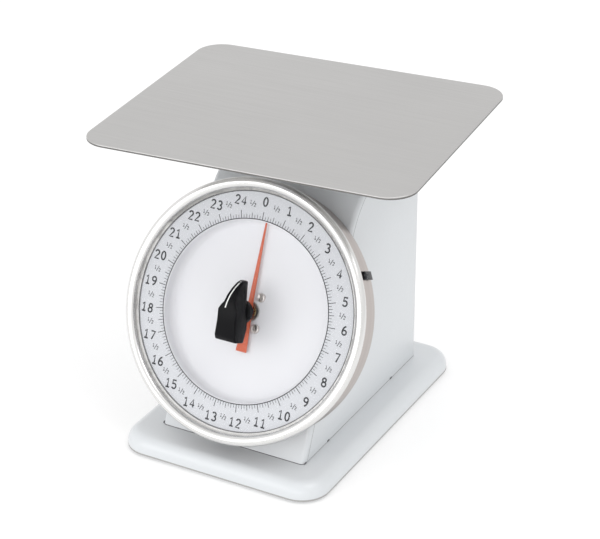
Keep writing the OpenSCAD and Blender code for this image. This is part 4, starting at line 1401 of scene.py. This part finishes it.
@dataclass
class Springs(Unit):
    """Two wound springs between the beam and the carriage."""

    x: float = 30.25  # distance of a spring from the middle
    y: float = 8.285
    ends: Point = (72.0, 153.968)  # heights of the lower and the upper end
    coil: Point = (79.0, 146.968)  # heights at which the coil starts and ends
    radius: float = 5.1  # radius of the coil at the middle of the wire
    wire: float = 0.9  # radius of the wire
    turns: int = 18
    per_turn: int = 28  # points in a turn
    lead: float = 0.75  # turns in which the coil widens from its axis

    def build(self) -> None:
        """Builds both springs, which stretch between the frame and the carriage."""
        for side, x in (("left", -self.x), ("right", self.x)):
            coil = self.shop.piece(
                f"{side}_coil", self._coil(x), None, Look.SPRING_STEEL, f"{side}_spring", sharp=180.0
            )
            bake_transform(coil)

    def _coil(self, x: float) -> BMesh:
        """Winds one spring.

        Args:
            x: Its place across the scale.

        Returns:
            The spring.
        """
        low, high = self.coil
        points = [(x, self.y, self.ends[0])]
        for i in range(self.turns * self.per_turn + 1):
            t = i / self.per_turn
            r = self.radius * min(1.0, min(t, self.turns - t) / self.lead)
            spot = (x + r * math.cos(math.tau * t), self.y + r * math.sin(math.tau * t))
            points.append((*spot, low + (high - low) * t / self.turns))
        points.append((x, self.y, self.ends[1]))
        return wires([points], self.wire, 2)


@dataclass
class Studio:
    """Camera, light and floor."""

    target: Triple = (0.00033, 0.00828, 0.1142)  # point that the camera looks at, in metres
    back: Triple = (0.4281, -0.7776, 0.4605)  # direction from the target to the camera
    distance: float = 1.5384  # of the camera, in metres
    focal: float = 120.63  # in mm, on the sensor
    sensor: float = 36.0  # width in mm
    sight: float = 40.0  # how far the camera sees, in metres
    roll: float = -0.16  # of the camera, in degrees
    window: Triple = (-0.75, -0.5, 0.4)  # direction of the brightest part of the surround
    surround: Point = (0.92, 1.04)  # brightness away from the window and towards it
    lamps: tuple[tuple[str, Triple, float, float], ...] = (  # name, place and side in metres, watts
        ("key", (-1.1, -1.95, 0.97), 1.15, 7.5),
        ("front", (0.3, -2.2, 0.6), 1.2, 6.5),
        ("side", (1.05, -0.2, 1.9), 1.0, 7.5),
    )
    floor_half: float = 14.0  # half the floor's side, in metres
    floor_grey: float = 0.6
    floor_roughness: float = 0.9
    glow: float = 0.40  # brightness that the floor adds of its own

    def build(self) -> None:
        """Sets up the camera, the lights, the surround and the floor."""
        self._camera()
        self._surround()
        for lamp in self.lamps:
            self._lamp(*lamp)
        self._floor()
        view = bpy.context.scene.view_settings
        view.view_transform, view.look = "Standard", "None"

    def _facing(self, spot: Vector, back: Vector) -> Matrix:
        """Returns the place of a camera or a lamp that looks away from a direction."""
        return Matrix.Translation(spot) @ back.to_track_quat("Z", "Y").to_matrix().to_4x4()

    def _camera(self) -> None:
        """Makes the camera."""
        data = bpy.data.cameras.new("camera")
        data.lens, data.sensor_width, data.sensor_fit = self.focal, self.sensor, "HORIZONTAL"
        data.clip_end = self.sight
        camera = put("camera", data)
        back = Vector(self.back).normalized()
        spin = Matrix.Rotation(math.radians(self.roll), 4, "Z")
        camera.matrix_world = self._facing(Vector(self.target) + back * self.distance, back) @ spin
        bpy.context.scene.camera = camera

    def _surround(self) -> None:
        """Makes a soft pale surround, brighter on the side of the window."""
        world = bpy.data.worlds.new("studio")
        world.use_nodes = True
        tree = world.node_tree
        direction = add(tree, "TexCoord", {}).outputs["Generated"]
        window = Vector(self.window).normalized()
        facing = add(tree, "VectorMath", {0: direction, 1: window}, operation="DOT_PRODUCT").outputs["Value"]
        low, high = self.surround
        spread = add(tree, "MapRange", {"Value": facing, "From Min": -1.0, "To Min": low, "To Max": high})
        fill(tree, tree.nodes["Background"], {"Color": WHITE, "Strength": spread.outputs["Result"]})
        bpy.context.scene.world = world

    def _lamp(self, name: str, spot: Triple, size: float, power: float) -> None:
        """Makes one square light that faces the scale.

        Args:
            name: Name of the light.
            spot: Its place in metres.
            size: Its side in metres.
            power: Its power in watts.
        """
        data = bpy.data.lights.new(name, "AREA")
        data.size, data.energy = size, power
        put(name, data).matrix_world = self._facing(Vector(spot), Vector(spot) - Vector(self.target))

    def _floor(self) -> None:
        """Makes a wide white floor."""
        bm = bmesh.new()
        bmesh.ops.create_grid(bm, x_segments=1, y_segments=1, size=self.floor_half)
        mesh = mesh_from("floor", bm)
        material = bpy.data.materials.new("floor_white")
        material.use_nodes = True
        tree, grey = material.node_tree, self.floor_grey
        sockets = {
            "Base Color": (grey, grey, grey, 1.0),
            "Roughness": self.floor_roughness,
            "Emission Color": WHITE,
            "Emission Strength": self.glow,
        }
        fill(tree, tree.nodes["Principled BSDF"], sockets)
        mesh.materials.append(material)
        put("floor", mesh)


def clear_scene() -> None:
    """Removes what a new Blender file starts with."""
    for obj in list(bpy.data.objects):
        bpy.data.objects.remove(obj, do_unlink=True)


def main() -> None:
    """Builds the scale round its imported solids."""
    logging.basicConfig(level=logging.INFO, format="%(message)s")
    clear_scene()
    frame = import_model()
    shop = Workshop(frame, DialPlace.from_record(frame["record"]))
    Studio().build()
    shop.dress_solids()
    for unit in (Base, Housing, Platform, DialCase, Dial, Hand, Knob, Springs):
        unit(shop).build()


if __name__ == "__main__":
    main()
